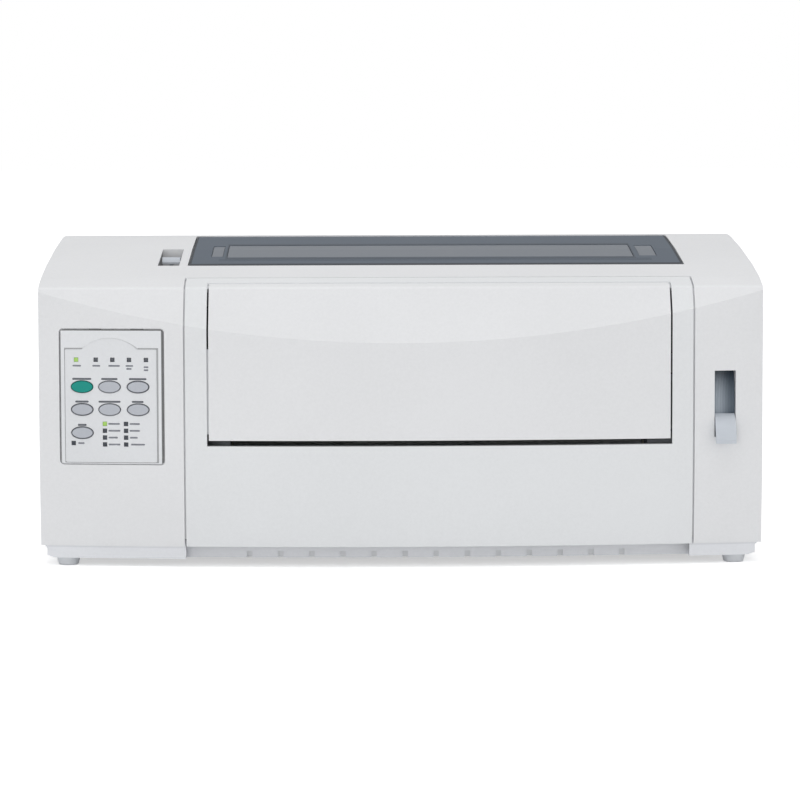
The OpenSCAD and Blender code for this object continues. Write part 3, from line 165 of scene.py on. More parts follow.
class Finish:
    # one material, its node tree begun with the object's own coordinates
    def __init__(self, name):
        self.material = bpy.data.materials.new(name)
        self.material.use_nodes = True
        self.tree = self.material.node_tree
        self.tree.nodes.clear()
        self.place = self.node("TexCoord", output="Object")

    def feed(self, socket, value):
        if isinstance(value, Wire):
            self.tree.links.new(value.socket, socket)
        elif socket.type == "RGBA":
            socket.default_value = (*value, 1)
        else:
            socket.default_value = value

    def node(self, kind, settings=None, inputs=None, output=0):
        made = self.tree.nodes.new("ShaderNode" + kind)
        for key, value in (settings or {}).items():
            setattr(made, key, value)
        for key, value in (inputs or {}).items():
            self.feed(made.inputs[key], value)
        return Wire(self, made.outputs[output]) if len(made.outputs) else None

    def noise(self, scale, detail=2.0, rough=0.5, place=None):
        return self.node("TexNoise", {}, {"Vector": place or self.place, "Scale": scale,
                                          "Detail": detail, "Roughness": rough})

    def stretched(self, x, y, z):
        # coordinates scaled along each axis, for brushed and drawn surfaces
        return self.node("Mapping", {}, {"Vector": self.place, "Scale": (x, y, z)})

    def mix(self, share, first, second):
        # of two colours; the node's sockets for them are 6 and 7, and 2 for the result
        made = self.tree.nodes.new("ShaderNodeMix")
        made.data_type = "RGBA"
        for number, value in ((0, share), (6, first), (7, second)):
            self.feed(made.inputs[number], value)
        return Wire(self, made.outputs[2])

    def axis(self, letter):
        return self.node("SeparateXYZ", {}, {0: self.place}, output=letter)

    def bump(self, height, strength, distance):
        return self.node("Bump", {}, {"Height": height, "Strength": strength,
                                      "Distance": distance})

    def close(self, **sockets):
        # the surface shader, its sockets given by short names
        names = {"colour": "Base Color", "rough": "Roughness", "metal": "Metallic",
                 "bump": "Normal", "glow": "Emission Color", "glowPower": "Emission Strength",
                 "coat": "Coat Weight", "coatRough": "Coat Roughness", "ior": "IOR",
                 "specular": "Specular IOR Level", "alpha": "Alpha"}
        shader = self.node("BsdfPrincipled", {},
                           {names[key]: value for key, value in sockets.items()})
        self.node("OutputMaterial", {}, {"Surface": shader})
        return self.material


def shade(colour, factor):
    # a colour made darker or lighter
    return tuple(min(c * factor, 1.0) for c in colour)


# ---- finishes -----------------------------------------------------------------------

plastics = {
    # colour, roughness, strength of the spark-eroded grain, specular level
    "shellWhite": (tint(232, 233, 235), 0.46, 0.22, 0.5),
    "housingWhite": (tint(232, 233, 235), 0.46, 0.22, 0.5),
    "shellPale": (tint(231, 233, 235), 0.48, 0.24, 0.5),
    "panPale": (tint(236, 238, 242), 0.48, 0.24, 0.5),
    "panelPale": (tint(230, 232, 235), 0.42, 0.16, 0.5),
    "overlayFilm": (tint(226, 228, 231), 0.38, 0.10, 0.5),
    "keyGrey": (tint(184, 188, 196), 0.34, 0.08, 0.4),
    "keyTeal": (tint(2, 146, 134), 0.36, 0.08, 0.22),
    "leverGrey": (tint(202, 208, 216), 0.40, 0.14, 0.4),
    "machineGrey": (tint(150, 154, 160), 0.45, 0.20, 0.5),
    "smokedSlate": (tint(84, 94, 106), 0.52, 0.18, 0.22),
    "coverSlate": (tint(88, 98, 110), 0.52, 0.18, 0.22),
    "blackPlastic": (tint(42, 44, 48), 0.44, 0.22, 0.5),
    "socketBlack": (tint(30, 31, 34), 0.40, 0.18, 0.5),
    "naturalNylon": (tint(226, 223, 208), 0.38, 0.10, 0.5),
}


def within(value, low, high):
    # 1 between low and high in millimetres, 0 outside
    return (value - (low + high) / 2 * mm).size().below((high - low) / 2 * mm)


# shades painted on mouldings, in millimetres; "dark" is what is left of the colour in them

recessFacts = {
    # the thickness lever's recess
    "sides": (-202.4, -183.6),
    "depths": (99.2, 183.0),
    "deck": 242.7,           # height of the deck at the recess's front edge
    "slope": 0.134,          # rise of the deck towards the back
    "fade": (0.2, 2.6),      # distances under the deck over which the shade sets in
    "dark": 0.30,
}


def recessShade(finish, facts):
    # the recess's walls and floor, from a little under the rising deck
    across, depth, up = finish.axis("X"), finish.axis("Y"), finish.axis("Z")
    low, high = facts["depths"]
    deck = (depth - (low - halfDepth) * mm) * facts["slope"] + facts["deck"] * mm
    start, full = facts["fade"]
    under = (deck - up).ramp(start * mm, full * mm)
    return (within(across, *facts["sides"]) * under
            * within(depth, low - halfDepth, high - halfDepth))


panelShadeBands = {
    # bands of the panel frame painted with the shade of the hole's edge
    "right": -194.7,
    "top": 193.0,
    "left": -276.5,
    "soft": 0.35,
    "dark": 0.16,
    # a painted shade line round the overlay: the overlay's corners, the line's width at each
    # of its sides, and its strength
    "overlay": ((-273.3, 86.0), (-198.4, 178.0)),
    "lineLeft": 0.45,
    "lineRight": 1.44,
    "lineLow": 0.45,
    "lineTop": 1.17,
    "lineShare": 0.62,
    # the painted shade arch over the overlay: middle, height of its centre, radius, half the
    # line's width
    "arch": (-235.1, 152.3, 33.5, 0.7),
    "archHalf": 21.44,       # half the arch's width where it meets the line
    "archShare": 0.30,
}


def panelShadePaint(finish, facts):
    # painted shade: the frame's outer bands, the line round the overlay and the arch that breaks
    # it
    across, up = finish.axis("X"), finish.axis("Z")
    soft = facts["soft"] * mm
    right = across.ramp(facts["right"] * mm, facts["right"] * mm + soft)
    top = up.ramp(facts["top"] * mm, facts["top"] * mm + soft)
    left = 1 - across.ramp(facts["left"] * mm - soft, facts["left"] * mm)
    (x0, z0), (x1, z1) = facts["overlay"]
    outline = (within(across, x0 - facts["lineLeft"], x1 + facts["lineRight"])
               * within(up, z0 - facts["lineLow"], z1 + facts["lineTop"]))
    middle, centre, radius, width = facts["arch"]
    inside = within(across, middle - facts["archHalf"], middle + facts["archHalf"])
    over = 1 - up.below(z1 * mm)
    aside, aloft = across - middle * mm, up - centre * mm
    reach = aside * aside + aloft * aloft
    inner, outer = ((radius - width) * mm) ** 2, ((radius + width) * mm) ** 2
    ring = (reach - (inner + outer) / 2).size().below((outer - inner) / 2)
    outline = outline * facts["lineShare"] * (1 - over * inside)
    arch = ring * over * facts["archShare"]
    return right.atLeast(top).atLeast(left).atLeast(outline).atLeast(arch)


coverLines = {
    # the ribbon cover, for its painted shade: its sides, its front edge, the main window's
    # corner and far corner
    "sides": (-176.0, 237.0),
    "front": 100.0,
    "rim": (1.8, 8.0),       # width of the dark rim at the sides and at the front
    "window": ((-145.8, 139.5), (199.2, 206.5)),
    "line": (1.2, 9.0),      # width of the dark line round the window, sideways and in depth
    "lineShare": 0.4,
    "step": (108.5, 129.0),  # a slightly lighter band behind the front rim
    "stepShare": 0.26,
    "dark": 0.36,
}


def coverShade(finish, facts):
    # painted shade on the cover's rim and round its window, less the lighter band
    across, depth = finish.axis("X"), finish.axis("Y")
    left, right = facts["sides"]
    side, front = facts["rim"]
    rim = 1 - within(across, left + side, right - side)
    rim = rim.atLeast(depth.below((facts["front"] + front - halfDepth) * mm))
    (x0, y0), (x1, y1) = facts["window"]
    thin, deep = facts["line"]
    outer = (within(across, x0 - thin, x1 + thin)
             * within(depth, y0 - deep - halfDepth, y1 + deep - halfDepth))
    low, high = facts["step"]
    band = within(depth, low - halfDepth, high - halfDepth) * (1 - rim)
    return (rim + outer * facts["lineShare"]).atMost(1.0) - band * facts["stepShare"]


panLine = {
    # shade on the pan just under the casing's low edge
    "low": 15.4,
    "dark": 0.90,
}


def panShade(finish, facts):
    # all that lies above the line's low edge
    return 1 - finish.axis("Z").below(facts["low"] * mm)


# the plastics with a painted shade, and what paints it
shadows = {
    "panPale": (panShade, panLine),
    "coverSlate": (coverShade, coverLines),
    "housingWhite": (recessShade, recessFacts),
    "panelPale": (panelShadePaint, panelShadeBands),
}

# in the facts below a noise is its scale, detail and roughness, a range is where a ramp starts
# and ends, a swing is how far a value moves about its middle, and a relief is the strength
# and the depth in metres of a bump

mouldedFacts = {
    "cloud": (7.0, 3.0),
    "fleck": (420.0, 2.0),
    "weights": (0.6, 0.4),       # of cloud and fleck in the colour
    "range": (0.3, 0.7),
    "tones": (0.975, 1.02),
    "pebble": (1500.0, 2.0, 0.6),
    "flow": (24.0, 2.0, 0.5),
    "flowStretch": (0.25, 1.0, 1.0),
    "flowShare": 0.4,
    "swing": 0.10,
    "depth": 0.00012,
}


def mouldedPlastic(name, colour, rough, grain, specular):
    # a faint cloud over the whole moulding, a fine even grain and a trace of flow marks
    facts = mouldedFacts
    finish = Finish(name)
    cloud = finish.noise(*facts["cloud"])
    fleck = finish.noise(*facts["fleck"])
    pebble = finish.noise(*facts["pebble"])
    flow = finish.noise(*facts["flow"], finish.stretched(*facts["flowStretch"]))
    wide, fine = facts["weights"]
    low, high = facts["tones"]
    share = (cloud * wide + fleck * fine).ramp(*facts["range"])
    base = finish.mix(share, shade(colour, low), shade(colour, high))
    if name in shadows:
        paint, shadeFacts = shadows[name]
        base = finish.mix(paint(finish, shadeFacts), base, shade(colour, shadeFacts["dark"]))
    return finish.close(
        colour=base, specular=specular,
        rough=rough + cloud.swing(facts["swing"]) + pebble.swing(facts["swing"]),
        bump=finish.bump(pebble + flow * facts["flowShare"], grain, facts["depth"]))


edgeFacts = {
    "rub": (60.0, 3.0),
    "range": (0.35, 0.65),
    "tones": (1.0, 1.05),
    "smoother": 0.75,            # share of the face's roughness that the edge keeps
    "swing": 0.12,
    "grain": 900.0,
    "relief": (0.06, 0.0001),
}


def polishedEdge(name, colour, rough, specular):
    # the rounded edge of a moulding, rubbed a little smoother and lighter; its colour may be a
    # painted shade
    facts = edgeFacts
    finish = Finish(name)
    rub = finish.noise(*facts["rub"])
    low, high = facts["tones"]
    base = finish.mix(rub.ramp(*facts["range"]), shade(colour, low), shade(colour, high))
    return finish.close(
        colour=base, specular=specular,
        rough=rough * facts["smoother"] + rub.swing(facts["swing"]),
        bump=finish.bump(finish.noise(facts["grain"]), *facts["relief"]))


metalFacts = {
    # stretch of the lines: drawn along the width, or cast without a direction
    "along": {"x": (0.04, 1, 1), "none": (1, 1, 1)},
    "lines": (1400.0, 3.0, 0.6),
    "bloom": (30.0, 4.0, 0.6),
    "range": (0.35, 0.75),
    "dull": 0.86,                # share of the colour left under the bloom
    "bloomSwing": 0.16,
    "lineSwing": 0.14,
    "depth": 0.00006,
}


def metalFinish(name, colour, rough, along, strength):
    # drawn or brushed metal: fine lines along one axis, with a soft bloom of oxide
    facts = metalFacts
    finish = Finish(name)
    lines = finish.noise(*facts["lines"], finish.stretched(*facts["along"][along]))
    bloom = finish.noise(*facts["bloom"])
    base = finish.mix(bloom.ramp(*facts["range"]), shade(colour, facts["dull"]), colour)
    return finish.close(
        colour=base, metal=1.0,
        rough=rough + bloom.swing(facts["bloomSwing"]) + lines.swing(facts["lineSwing"]),
        bump=finish.bump(lines, strength, facts["depth"]))


zincFacts = {
    "crystals": 95.0,
    "haze": (14.0, 4.0),
    "greys": (tint(168, 172, 177), tint(197, 200, 204)),
    "range": (0.2, 0.8),
    "metal": 0.9,
    "rough": 0.34,
    "swing": 0.12,
    "grain": (700.0, 3.0),
    "relief": (0.08, 0.00008),
}


def spangledZinc(name, facts):
    # zinc-plated sheet: a crystal pattern of slightly different greys
    finish = Finish(name)
    crystal = finish.node("TexVoronoi", {}, {"Vector": finish.place, "Scale": facts["crystals"]},
                          output="Color")
    grey = finish.node("RGBToBW", {}, {0: crystal})
    haze = finish.noise(*facts["haze"])
    swing = facts["swing"]
    return finish.close(
        colour=finish.mix(grey.ramp(*facts["range"]), *facts["greys"]), metal=facts["metal"],
        rough=facts["rough"] + grey * swing + haze.swing(swing),
        bump=finish.bump(finish.noise(*facts["grain"]), *facts["relief"]))


leverFacts = {
    "axis": (62.0, 131.6),       # depth and height of the lever's pivot
    "shutter": 37.8,             # radius up to which the lever is the slot's dark shutter
    "soft": 0.6,
    "light": tint(204, 210, 218),
    "worn": 0.97,                # share of the light tone that the tab is rubbed to
    "left": tint(168, 177, 187),     # the shutter, lit from the right, at its two sides
    "right": tint(84, 96, 108),
    "sides": (257.0, 270.0),
    "ribs": 1.3,                 # pitch of the shutter's ribs
    "groove": (0.2, 0.7),
    "grooveShare": 0.3,
    "grooveDark": 0.5,
    "cloud": (80.0, 3.0),
    "cloudRange": (0.3, 0.7),
    "rough": 0.42,
    "swing": 0.1,
    "specular": 0.4,
    "grain": 1200.0,
    "grainShare": 0.1,
    "relief": (0.3, 0.0003),
}


def leverFinish(name, facts):
    # the lever's shutter is painted with the slot's shade, its ribs' grooves painted darker; its
    # tab is clean
    finish = Finish(name)
    middle, height = facts["axis"]
    depth = finish.axis("Y") - (middle - halfDepth) * mm
    rise = finish.axis("Z") - height * mm
    radius = finish.node("Math", {"operation": "SQRT"}, {0: depth * depth + rise * rise})
    edge = facts["shutter"]
    inside = 1 - radius.ramp(edge * mm, (edge + facts["soft"]) * mm)
    across = finish.axis("X")
    half = facts["ribs"] * mm / 2
    rib = finish.node("Math", {"operation": "PINGPONG"}, {0: across, 1: half})
    groove = (rib / half).ramp(*facts["groove"])
    cloud = finish.noise(*facts["cloud"])
    left, right = facts["sides"]
    shaded = finish.mix(across.ramp(left * mm, right * mm), facts["left"], facts["right"])
    shaded = finish.mix(groove * facts["grooveShare"], shaded,
                        shade(facts["right"], facts["grooveDark"]))
    clean = finish.mix(cloud.ramp(*facts["cloudRange"]), shade(facts["light"], facts["worn"]),
                       facts["light"])
    relief = groove * inside + finish.noise(facts["grain"]) * facts["grainShare"]
    return finish.close(colour=finish.mix(inside, clean, shaded), specular=facts["specular"],
                        rough=facts["rough"] + cloud.swing(facts["swing"]),
                        bump=finish.bump(relief, *facts["relief"]))


rubberFacts = {
    "dust": (45.0, 4.0, 0.6),
    "range": (0.45, 0.8),
    "dusty": 0.03,               # share by which dust greys the colour
    "swing": 0.14,
    "grind": (1100.0, 3.0, 0.6),
    "relief": (0.25, 0.0001),
    "specular": 0.35,
}


def rubberFinish(name, colour, rough):
    # dull rubber with a finely ground face and a little dust on it
    facts = rubberFacts
    finish = Finish(name)
    dust = finish.noise(*facts["dust"])
    grey = tuple(c + (0.5 - c) * facts["dusty"] for c in colour)
    return finish.close(colour=finish.mix(dust.ramp(*facts["range"]), colour, grey),
                        rough=rough + dust.swing(facts["swing"]), specular=facts["specular"],
                        bump=finish.bump(finish.noise(*facts["grind"]), *facts["relief"]))


boardFacts = {
    "tracks": {"Scale": 90.0, "Mortar Size": 0.035, "Brick Width": 0.9, "Row Height": 0.16},
    "offset": 0.37,
    "resist": tint(24, 84, 56),
    "track": tint(46, 112, 74),
    "cloud": (30.0, 3.0),
    "rough": 0.36,
    "swing": 0.14,
    "relief": (0.35, 0.0001),
}


def boardFinish(name, facts):
    # solder resist with copper tracks seen as slightly raised, lighter lines
    finish = Finish(name)
    track = finish.node("TexBrick", {"offset": facts["offset"]},
                        {"Vector": finish.place, **facts["tracks"]}, output="Fac")
    cloud = finish.noise(*facts["cloud"])
    return finish.close(colour=finish.mix(track, facts["resist"], facts["track"]),
                        rough=facts["rough"] + cloud.swing(facts["swing"]),
                        bump=finish.bump(track, *facts["relief"]))


paneFacts = {
    "haze": (18.0, 4.0),
    "scuff": (900.0, 3.0, 0.6),
    "scuffStretch": (0.15, 1, 1),
    "range": (0.3, 0.7),
    "tones": (tint(112, 119, 129), tint(118, 125, 135)),
    "rough": 0.34,
    "hazeSwing": 0.1,
    "scuffSwing": 0.08,
    "relief": (0.05, 0.00005),
    "specular": 0.3,
    "opaque": 0.92,
    "clearer": 0.04,             # the opacity falls by up to this with the haze
}


def smokedPane(name, facts):
    # the smoked window: dark, slightly hazy, the works showing faintly through it
    finish = Finish(name)
    haze = finish.noise(*facts["haze"])
    scuff = finish.noise(*facts["scuff"], finish.stretched(*facts["scuffStretch"]))
    return finish.close(
        colour=finish.mix(haze.ramp(*facts["range"]), *facts["tones"]),
        rough=facts["rough"] + haze.swing(facts["hazeSwing"]) + scuff.swing(facts["scuffSwing"]),
        bump=finish.bump(scuff, *facts["relief"]), specular=facts["specular"],
        alpha=facts["opaque"] - haze * facts["clearer"])


lampFacts = {
    "lit": ((-264.1, 169.5), (-241.0, 117.4)),      # x and z of the two lit ones
    "reach": 2.4,                # half the side of the square about a lit one
    "dark": tint(28, 36, 48),
    "darkTop": 1.5,              # brightest fleck in a dark cap
    "glass": tint(138, 178, 76),
    "glow": 0.5,
    "power": 0.7,
    "fog": 500.0,
    "rough": 0.16,
    "roughFog": 0.08,
}


def lampFinish(name, facts):
    # clear caps over the light-emitting diodes; those named in lit glow green
    finish = Finish(name)
    across, up = finish.axis("X"), finish.axis("Z")
    lit = None
    for x, z in facts["lit"]:
        apart = (across - x * mm).size().atLeast((up - z * mm).size())
        near = apart.below(facts["reach"] * mm)
        lit = near if lit is None else lit.atLeast(near)
    fog = finish.noise(facts["fog"])
    dark = finish.mix(fog, facts["dark"], shade(facts["dark"], facts["darkTop"]))
    glow = finish.mix(lit, (0, 0, 0), shade(facts["glass"], facts["glow"]))
    return finish.close(colour=finish.mix(lit, dark, facts["glass"]), glow=glow,
                        glowPower=facts["power"],
                        rough=facts["rough"] + fog * facts["roughFog"])


shadedEdgeColours = {
    # painted shade: these edges are darker than their faces, at the keys, panel, overlay and
    # cover
    "coverSlate": tint(38, 44, 52),
    "keyGrey": tint(122, 126, 134),
    "keyTeal": tint(4, 92, 82),
    "panelPale": tint(150, 153, 158),
    "overlayFilm": tint(140, 143, 148),
}
made = {name: mouldedPlastic(name, *facts) for name, facts in plastics.items()}
made.update({
    "zincSheet": spangledZinc("zincSheet", zincFacts),
    "groundRod": metalFinish("groundRod", tint(196, 198, 202), 0.20, "x", 0.12),
    "plainSteel": metalFinish("plainSteel", tint(180, 183, 187), 0.34, "none", 0.16),
    "castAlloy": metalFinish("castAlloy", tint(128, 131, 136), 0.48, "none", 0.40),
    "brassGear": metalFinish("brassGear", tint(206, 170, 92), 0.26, "x", 0.12),
    "blackRubber": rubberFinish("blackRubber", tint(38, 38, 40), 0.62),
    "footRubber": rubberFinish("footRubber", tint(214, 217, 221), 0.60),
    "platenRubber": rubberFinish("platenRubber", tint(44, 45, 48), 0.50),
    "motorBlack": metalFinish("motorBlack", tint(62, 64, 68), 0.42, "none", 0.30),
    "boardGreen": boardFinish("boardGreen", boardFacts),
    "smokedPane": smokedPane("smokedPane", paneFacts),
    "selectLever": leverFinish("selectLever", leverFacts),
    "lampCaps": lampFinish("lampCaps", lampFacts),
})
# each plastic's edge, rubbed lighter; in shadedEdgeColours its colour is a painted shade
worn = {name: polishedEdge(name + "Edge", shadedEdgeColours.get(name, colour), rough, specular)
        for name, (colour, rough, grain, specular) in plastics.items()}
# the pane's edge is a painted shade round the window
worn["smokedPane"] = polishedEdge("smokedPaneEdge", tint(52, 58, 67), 0.4, 0.2)
print("finishes made:", len(made) + len(worn))

# ---- mouldings and metal parts --------------------------------------------------------

# each source node: its finish and the radius of its edges in millimetres
dressing = {
    "top_housing": ("housingWhite", 0.7),
    "front_cover": ("shellPale", 0.6),
    "front_flap": ("shellWhite", 0.6),
    "base_pan": ("panPale", 0.5),
    "panel_bezel": ("panelPale", 0.4),
    "panel_overlay": ("overlayFilm", 0.2),
    "panel_lights": ("lampCaps", 0.15),
    "panel_board": ("boardGreen", 0.15),
    "ribbon_cover": ("coverSlate", 0.9),
    "ribbon_cover_window": ("smokedPane", 0.5),
    "select_lever": ("selectLever", 0.7),
    "thickness_lever": ("leverGrey", 0.5),
    "power_rocker": ("blackPlastic", 0.4),
    "left_side_frame": ("zincSheet", 0.25),
    "right_side_frame": ("zincSheet", 0.25),
    "cross_beam": ("zincSheet", 0.25),
    "carriage_rail": ("groundRod", 0.4),
    "tractor_rail": ("groundRod", 0.3),
    "guide_bar": ("zincSheet", 0.25),
    "paper_chute": ("machineGrey", 0.3),
    "carriage_motor": ("motorBlack", 0.4),
    "paper_motor": ("motorBlack", 0.4),
    "drive_belt": ("blackRubber", 0.15),
    "power_supply": ("zincSheet", 0.4),
    "main_board": ("boardGreen", 0.15),
    "power_inlet": ("socketBlack", 0.4),
    "interface_ports": ("socketBlack", 0.3),
    "case_screws": ("plainSteel", 0.25),
    "tear_bar": ("zincSheet", 0.1),
    "platen_bushes": ("naturalNylon", 0.3),
    "platen_roller": ("platenRubber", 0.5),
    "platen_shaft": ("groundRod", 0.4),
    "platen_gear": ("naturalNylon", 0.12),
    "platen_knob": ("shellPale", 0.5),
    "motor_pinion": ("brassGear", 0.1),
    "transfer_gear": ("naturalNylon", 0.12),
    "tractor_gear": ("naturalNylon", 0.12),
    "tractor_shaft": ("groundRod", 0.3),
    "tractor_left": ("machineGrey", 0.35),
    "tractor_right": ("machineGrey", 0.35),
    "tractor_door_left": ("machineGrey", 0.3),
    "tractor_door_right": ("machineGrey", 0.3),
    "sprocket_left": ("naturalNylon", 0.2),
    "sprocket_right": ("naturalNylon", 0.2),
    "carriage": ("blackPlastic", 0.4),
    "printhead": ("castAlloy", 0.3),
    "ribbon_cartridge": ("blackPlastic", 0.5),
    "ribbon_knob": ("smokedSlate", 0.4),
    "drive_pulley": ("naturalNylon", 0.2),
    "idler_pulley": ("naturalNylon", 0.2),
    "key_start": ("keyTeal", 0.8),
}
dressing.update({"key_" + word: ("keyGrey", 0.8)
                 for word in ("load", "eject", "tear", "line", "tractor", "setup")})


def pieceName(node):
    # the node's words run together
    words = node.split("_")
    return words[0] + "".join(word.capitalize() for word in words[1:]) + "Piece"


# on these the shallow fold between the upright and the leaning part stays an edge too
creased = ("top_housing", "front_cover", "front_flap", "base_pan")

softFacts = {
    "merge": 2e-6,           # metres within which two points become one
    "flat": 0.03,            # degrees within which faces are rejoined
    "fold": 33,              # degrees from which an edge is rounded
    "creaseFold": 25,        # the same on the creased ones
    "sharper": 3,            # degrees beyond these from which the shading breaks
    "segments": 2,
    "weight": 50,
}

panEnds = {
    # the source pan ends in a plain slant from the low edge of its upright rim; the end is
    # brought out to an upright wall over a small chamfer
    "slant": (276.75, 0.9),  # half width of the slant at height nought, and its growth
    "chamfer": 8.4,          # height at which the chamfer starts
    "wall": 290.2,           # half width of the upright part
    "foot": 284.6,           # half width of the low edge
    "base": 6.5,
    "rim": 15.4,             # height where the upright rim starts
    "near": 0.1,             # how close to the slant its own points lie
    "front": -100.0,         # points in front of this follow the bow
    "cut": 1e-7,             # metres from the cut within which a point counts as on it
}


def uprightEnds(mesh, facts):
    # brings the slanted ends of the pan out, following the bow along its front
    spots = np.empty(len(mesh.vertices) * 3, np.float32)
    mesh.vertices.foreach_get("co", spots)
    spots = spots.reshape(-1, 3).astype(float) / mm
    wide, high = np.abs(spots[:, 0]), spots[:, 2]
    start, growth = facts["slant"]
    moved = (np.abs(wide - high * growth - start) < facts["near"]) & (high < facts["rim"])
    share = np.clip((high - facts["base"]) / (facts["chamfer"] - facts["base"]), 0, 1)
    out = facts["foot"] + (facts["wall"] - facts["foot"]) * share
    out = np.where(moved, np.maximum(out, wide), wide)
    bowed = frontDepth(out, high) - frontDepth(wide, high)
    spots[:, 0] = np.sign(spots[:, 0]) * out
    spots[:, 1] += bowed * (spots[:, 1] < facts["front"])
    mesh.vertices.foreach_set("co", (spots * mm).astype(np.float32).ravel())


def softened(node, finish, radius):
    # a merged copy of the node with its flat faces rejoined and its edges rounded
    facts = softFacts
    fold = facts["creaseFold"] if node in creased else facts["fold"]
    shape = bmesh.new()
    shape.from_mesh(frame["nodes"][node].data)
    bmesh.ops.remove_doubles(shape, verts=shape.verts, dist=facts["merge"])
    bmesh.ops.dissolve_limit(shape, angle_limit=math.radians(facts["flat"]),
                             use_dissolve_boundaries=False, verts=shape.verts, edges=shape.edges)
    if node == "base_pan":
        bmesh.ops.bisect_plane(shape, geom=shape.verts[:] + shape.edges[:] + shape.faces[:],
                               dist=panEnds["cut"], plane_co=(0, 0, panEnds["chamfer"] * mm),
                               plane_no=(0, 0, 1))
    rough = bpy.data.meshes.new(pieceName(node) + "Raw")
    shape.to_mesh(rough)
    shape.free()
    if node == "base_pan":
        uprightEnds(rough, panEnds)
    rough.materials.clear()
    rough.materials.append(made[finish])
    rough.materials.append(worn.get(finish, made[finish]))
    count = len(rough.polygons)
    rough.polygons.foreach_set("material_index", np.zeros(count, np.int32))
    rough.polygons.foreach_set("use_smooth", np.ones(count, bool))
    piece = bpy.data.objects.new(pieceName(node), rough)
    bpy.context.scene.collection.objects.link(piece)
    bevel = piece.modifiers.new("edges", "BEVEL")
    bevel.width, bevel.segments = radius * mm, facts["segments"]
    bevel.limit_method, bevel.angle_limit = "ANGLE", math.radians(fold)
    bevel.material = 1
    bevel.miter_outer = "MITER_ARC"
    final = bpy.data.meshes.new_from_object(
        piece.evaluated_get(bpy.context.evaluated_depsgraph_get()))
    piece.modifiers.clear()
    final.name = pieceName(node)
    final.set_sharp_from_angle(angle=math.radians(fold + facts["sharper"]))
    piece.data = final
    bpy.data.meshes.remove(rough)
    even = piece.modifiers.new("shading", "WEIGHTED_NORMAL")
    even.keep_sharp, even.weight = True, facts["weight"]
    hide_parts(node)
    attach(piece, bodyOf[node])
    return piece


dressed = {node: softened(node, *facts) for node, facts in dressing.items()}
print("pieces dressed:", len(dressed))

# ---- printed marks on the operator panel ----------------------------------------------

markFacts = {
    "inkDepth": 0.36,        # of the marks' face behind the casing's skin
    "thick": 0.06,
    "corners": 16,           # on the outline of a bar
    "fade": (260.0, 3.0),
    "range": (0.3, 0.7),
    "pale": 1.2,             # how much paler the faded ink is
    "rough": 0.45,
    "swing": 0.1,
    # piece, ink, height and rows of middle x, middle z, width: plain bars where a maker
    # would name keys and lights
    "sets": (
        ("keyMarks", tint(98, 101, 108), 1.6, (
            (-259.6, 153.9, 15.6), (-237.0, 153.9, 13.4), (-213.8, 153.9, 14.4),
            (-259.6, 135.4, 11.0), (-237.0, 135.4, 18.0), (-214.0, 135.4, 9.6),
            (-259.6, 116.4, 7.2))),
        ("lampMarks", tint(128, 131, 139), 1.4, (
            (-263.6, 164.6, 7.0), (-247.6, 164.6, 6.4), (-233.0, 164.6, 9.4),
            (-220.6, 164.6, 6.2), (-220.9, 162.2, 4.4), (-207.0, 163.6, 3.8),
            (-207.0, 161.2, 3.8),
            (-233.4, 117.4, 9.4), (-233.2, 111.8, 9.6), (-234.2, 106.2, 7.6),
            (-233.2, 100.6, 9.6),
            (-216.6, 117.4, 8.4), (-216.6, 111.8, 8.4), (-217.4, 106.2, 6.4),
            (-214.0, 100.6, 11.4),
            (-260.4, 101.5, 5.2))),
    ),
}


def meshPiece(name, points, faces, material, body):
    # a new smooth piece from points in metres and lists of corners
    mesh = bpy.data.meshes.new(name)
    mesh.from_pydata(points.tolist(), [], faces)
    mesh.validate()
    mesh.materials.append(material)
    mesh.polygons.foreach_set("use_smooth", np.ones(len(mesh.polygons), bool))
    piece = bpy.data.objects.new(name, mesh)
    bpy.context.scene.collection.objects.link(piece)
    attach(piece, body)
    return piece


def printedMarks(facts, name, ink, height, rows):
    # every bar is a thin stadium prism, wrapped on to the bowed film
    count = facts["corners"]
    turn = np.linspace(0, 2 * np.pi, count, endpoint=False) + np.pi / count
    bars = np.array(rows)[:, None, :]
    half = (bars[..., 2] - height) / 2
    x = bars[..., 0] + np.sign(np.cos(turn)) * half + np.cos(turn) * height / 2
    z = bars[..., 1] + np.sin(turn) * height / 2 + 0 * x
    skin = frontDepth(x, z) + facts["inkDepth"]
    front = np.stack([x, skin - halfDepth, z], -1)
    back = np.stack([x, skin + facts["thick"] - halfDepth, z], -1)
    points = np.concatenate([front, back], 1).reshape(-1, 3) * mm
    step = np.arange(len(bars))[:, None] * 2 * count
    ring = np.arange(count)
    after = (ring + 1) % count
    sides = np.stack([step + ring, step + ring + count, step + after + count, step + after], -1)
    faces = (step + ring).tolist() + (step + count + ring[::-1]).tolist()
    faces += sides.reshape(-1, 4).tolist()
    finish = Finish(name + "Ink")
    fade = finish.noise(*facts["fade"])
    finish.close(colour=finish.mix(fade.ramp(*facts["range"]), ink, shade(ink, facts["pale"])),
                 rough=facts["rough"] + fade.swing(facts["swing"]))
    meshPiece(name, points, faces, finish.material, "casing")


for row in markFacts["sets"]:
    printedMarks(markFacts, *row)
print("panel marks printed")

# ---- feet and the strip behind the step's notches ---------------------------------------

footFacts = {
    "x": 273.4,
    "depths": (40.0, 296.0),
    # radius and height along the outside, from the hollow underneath to the pan
    "profile": ((0, 1.6), (3.9, 1.6), (4.4, 0.3), (5.0, 0), (7.4, 0), (8.2, 0.5), (8.9, 3.0),
                (9.6, 6.2), (9.6, 6.5), (0, 6.5)),
    "sides": 64,
    "sharp": 40,             # degrees from which the shading breaks
}
linerFacts = {
    "x": (-168.0, 230.0),
    "depth": 17.8,           # behind the casing's skin
    "z": (6.8, 12.6),
    "thick": 1.0,
    "steps": 120,
    "sharp": 30,
}


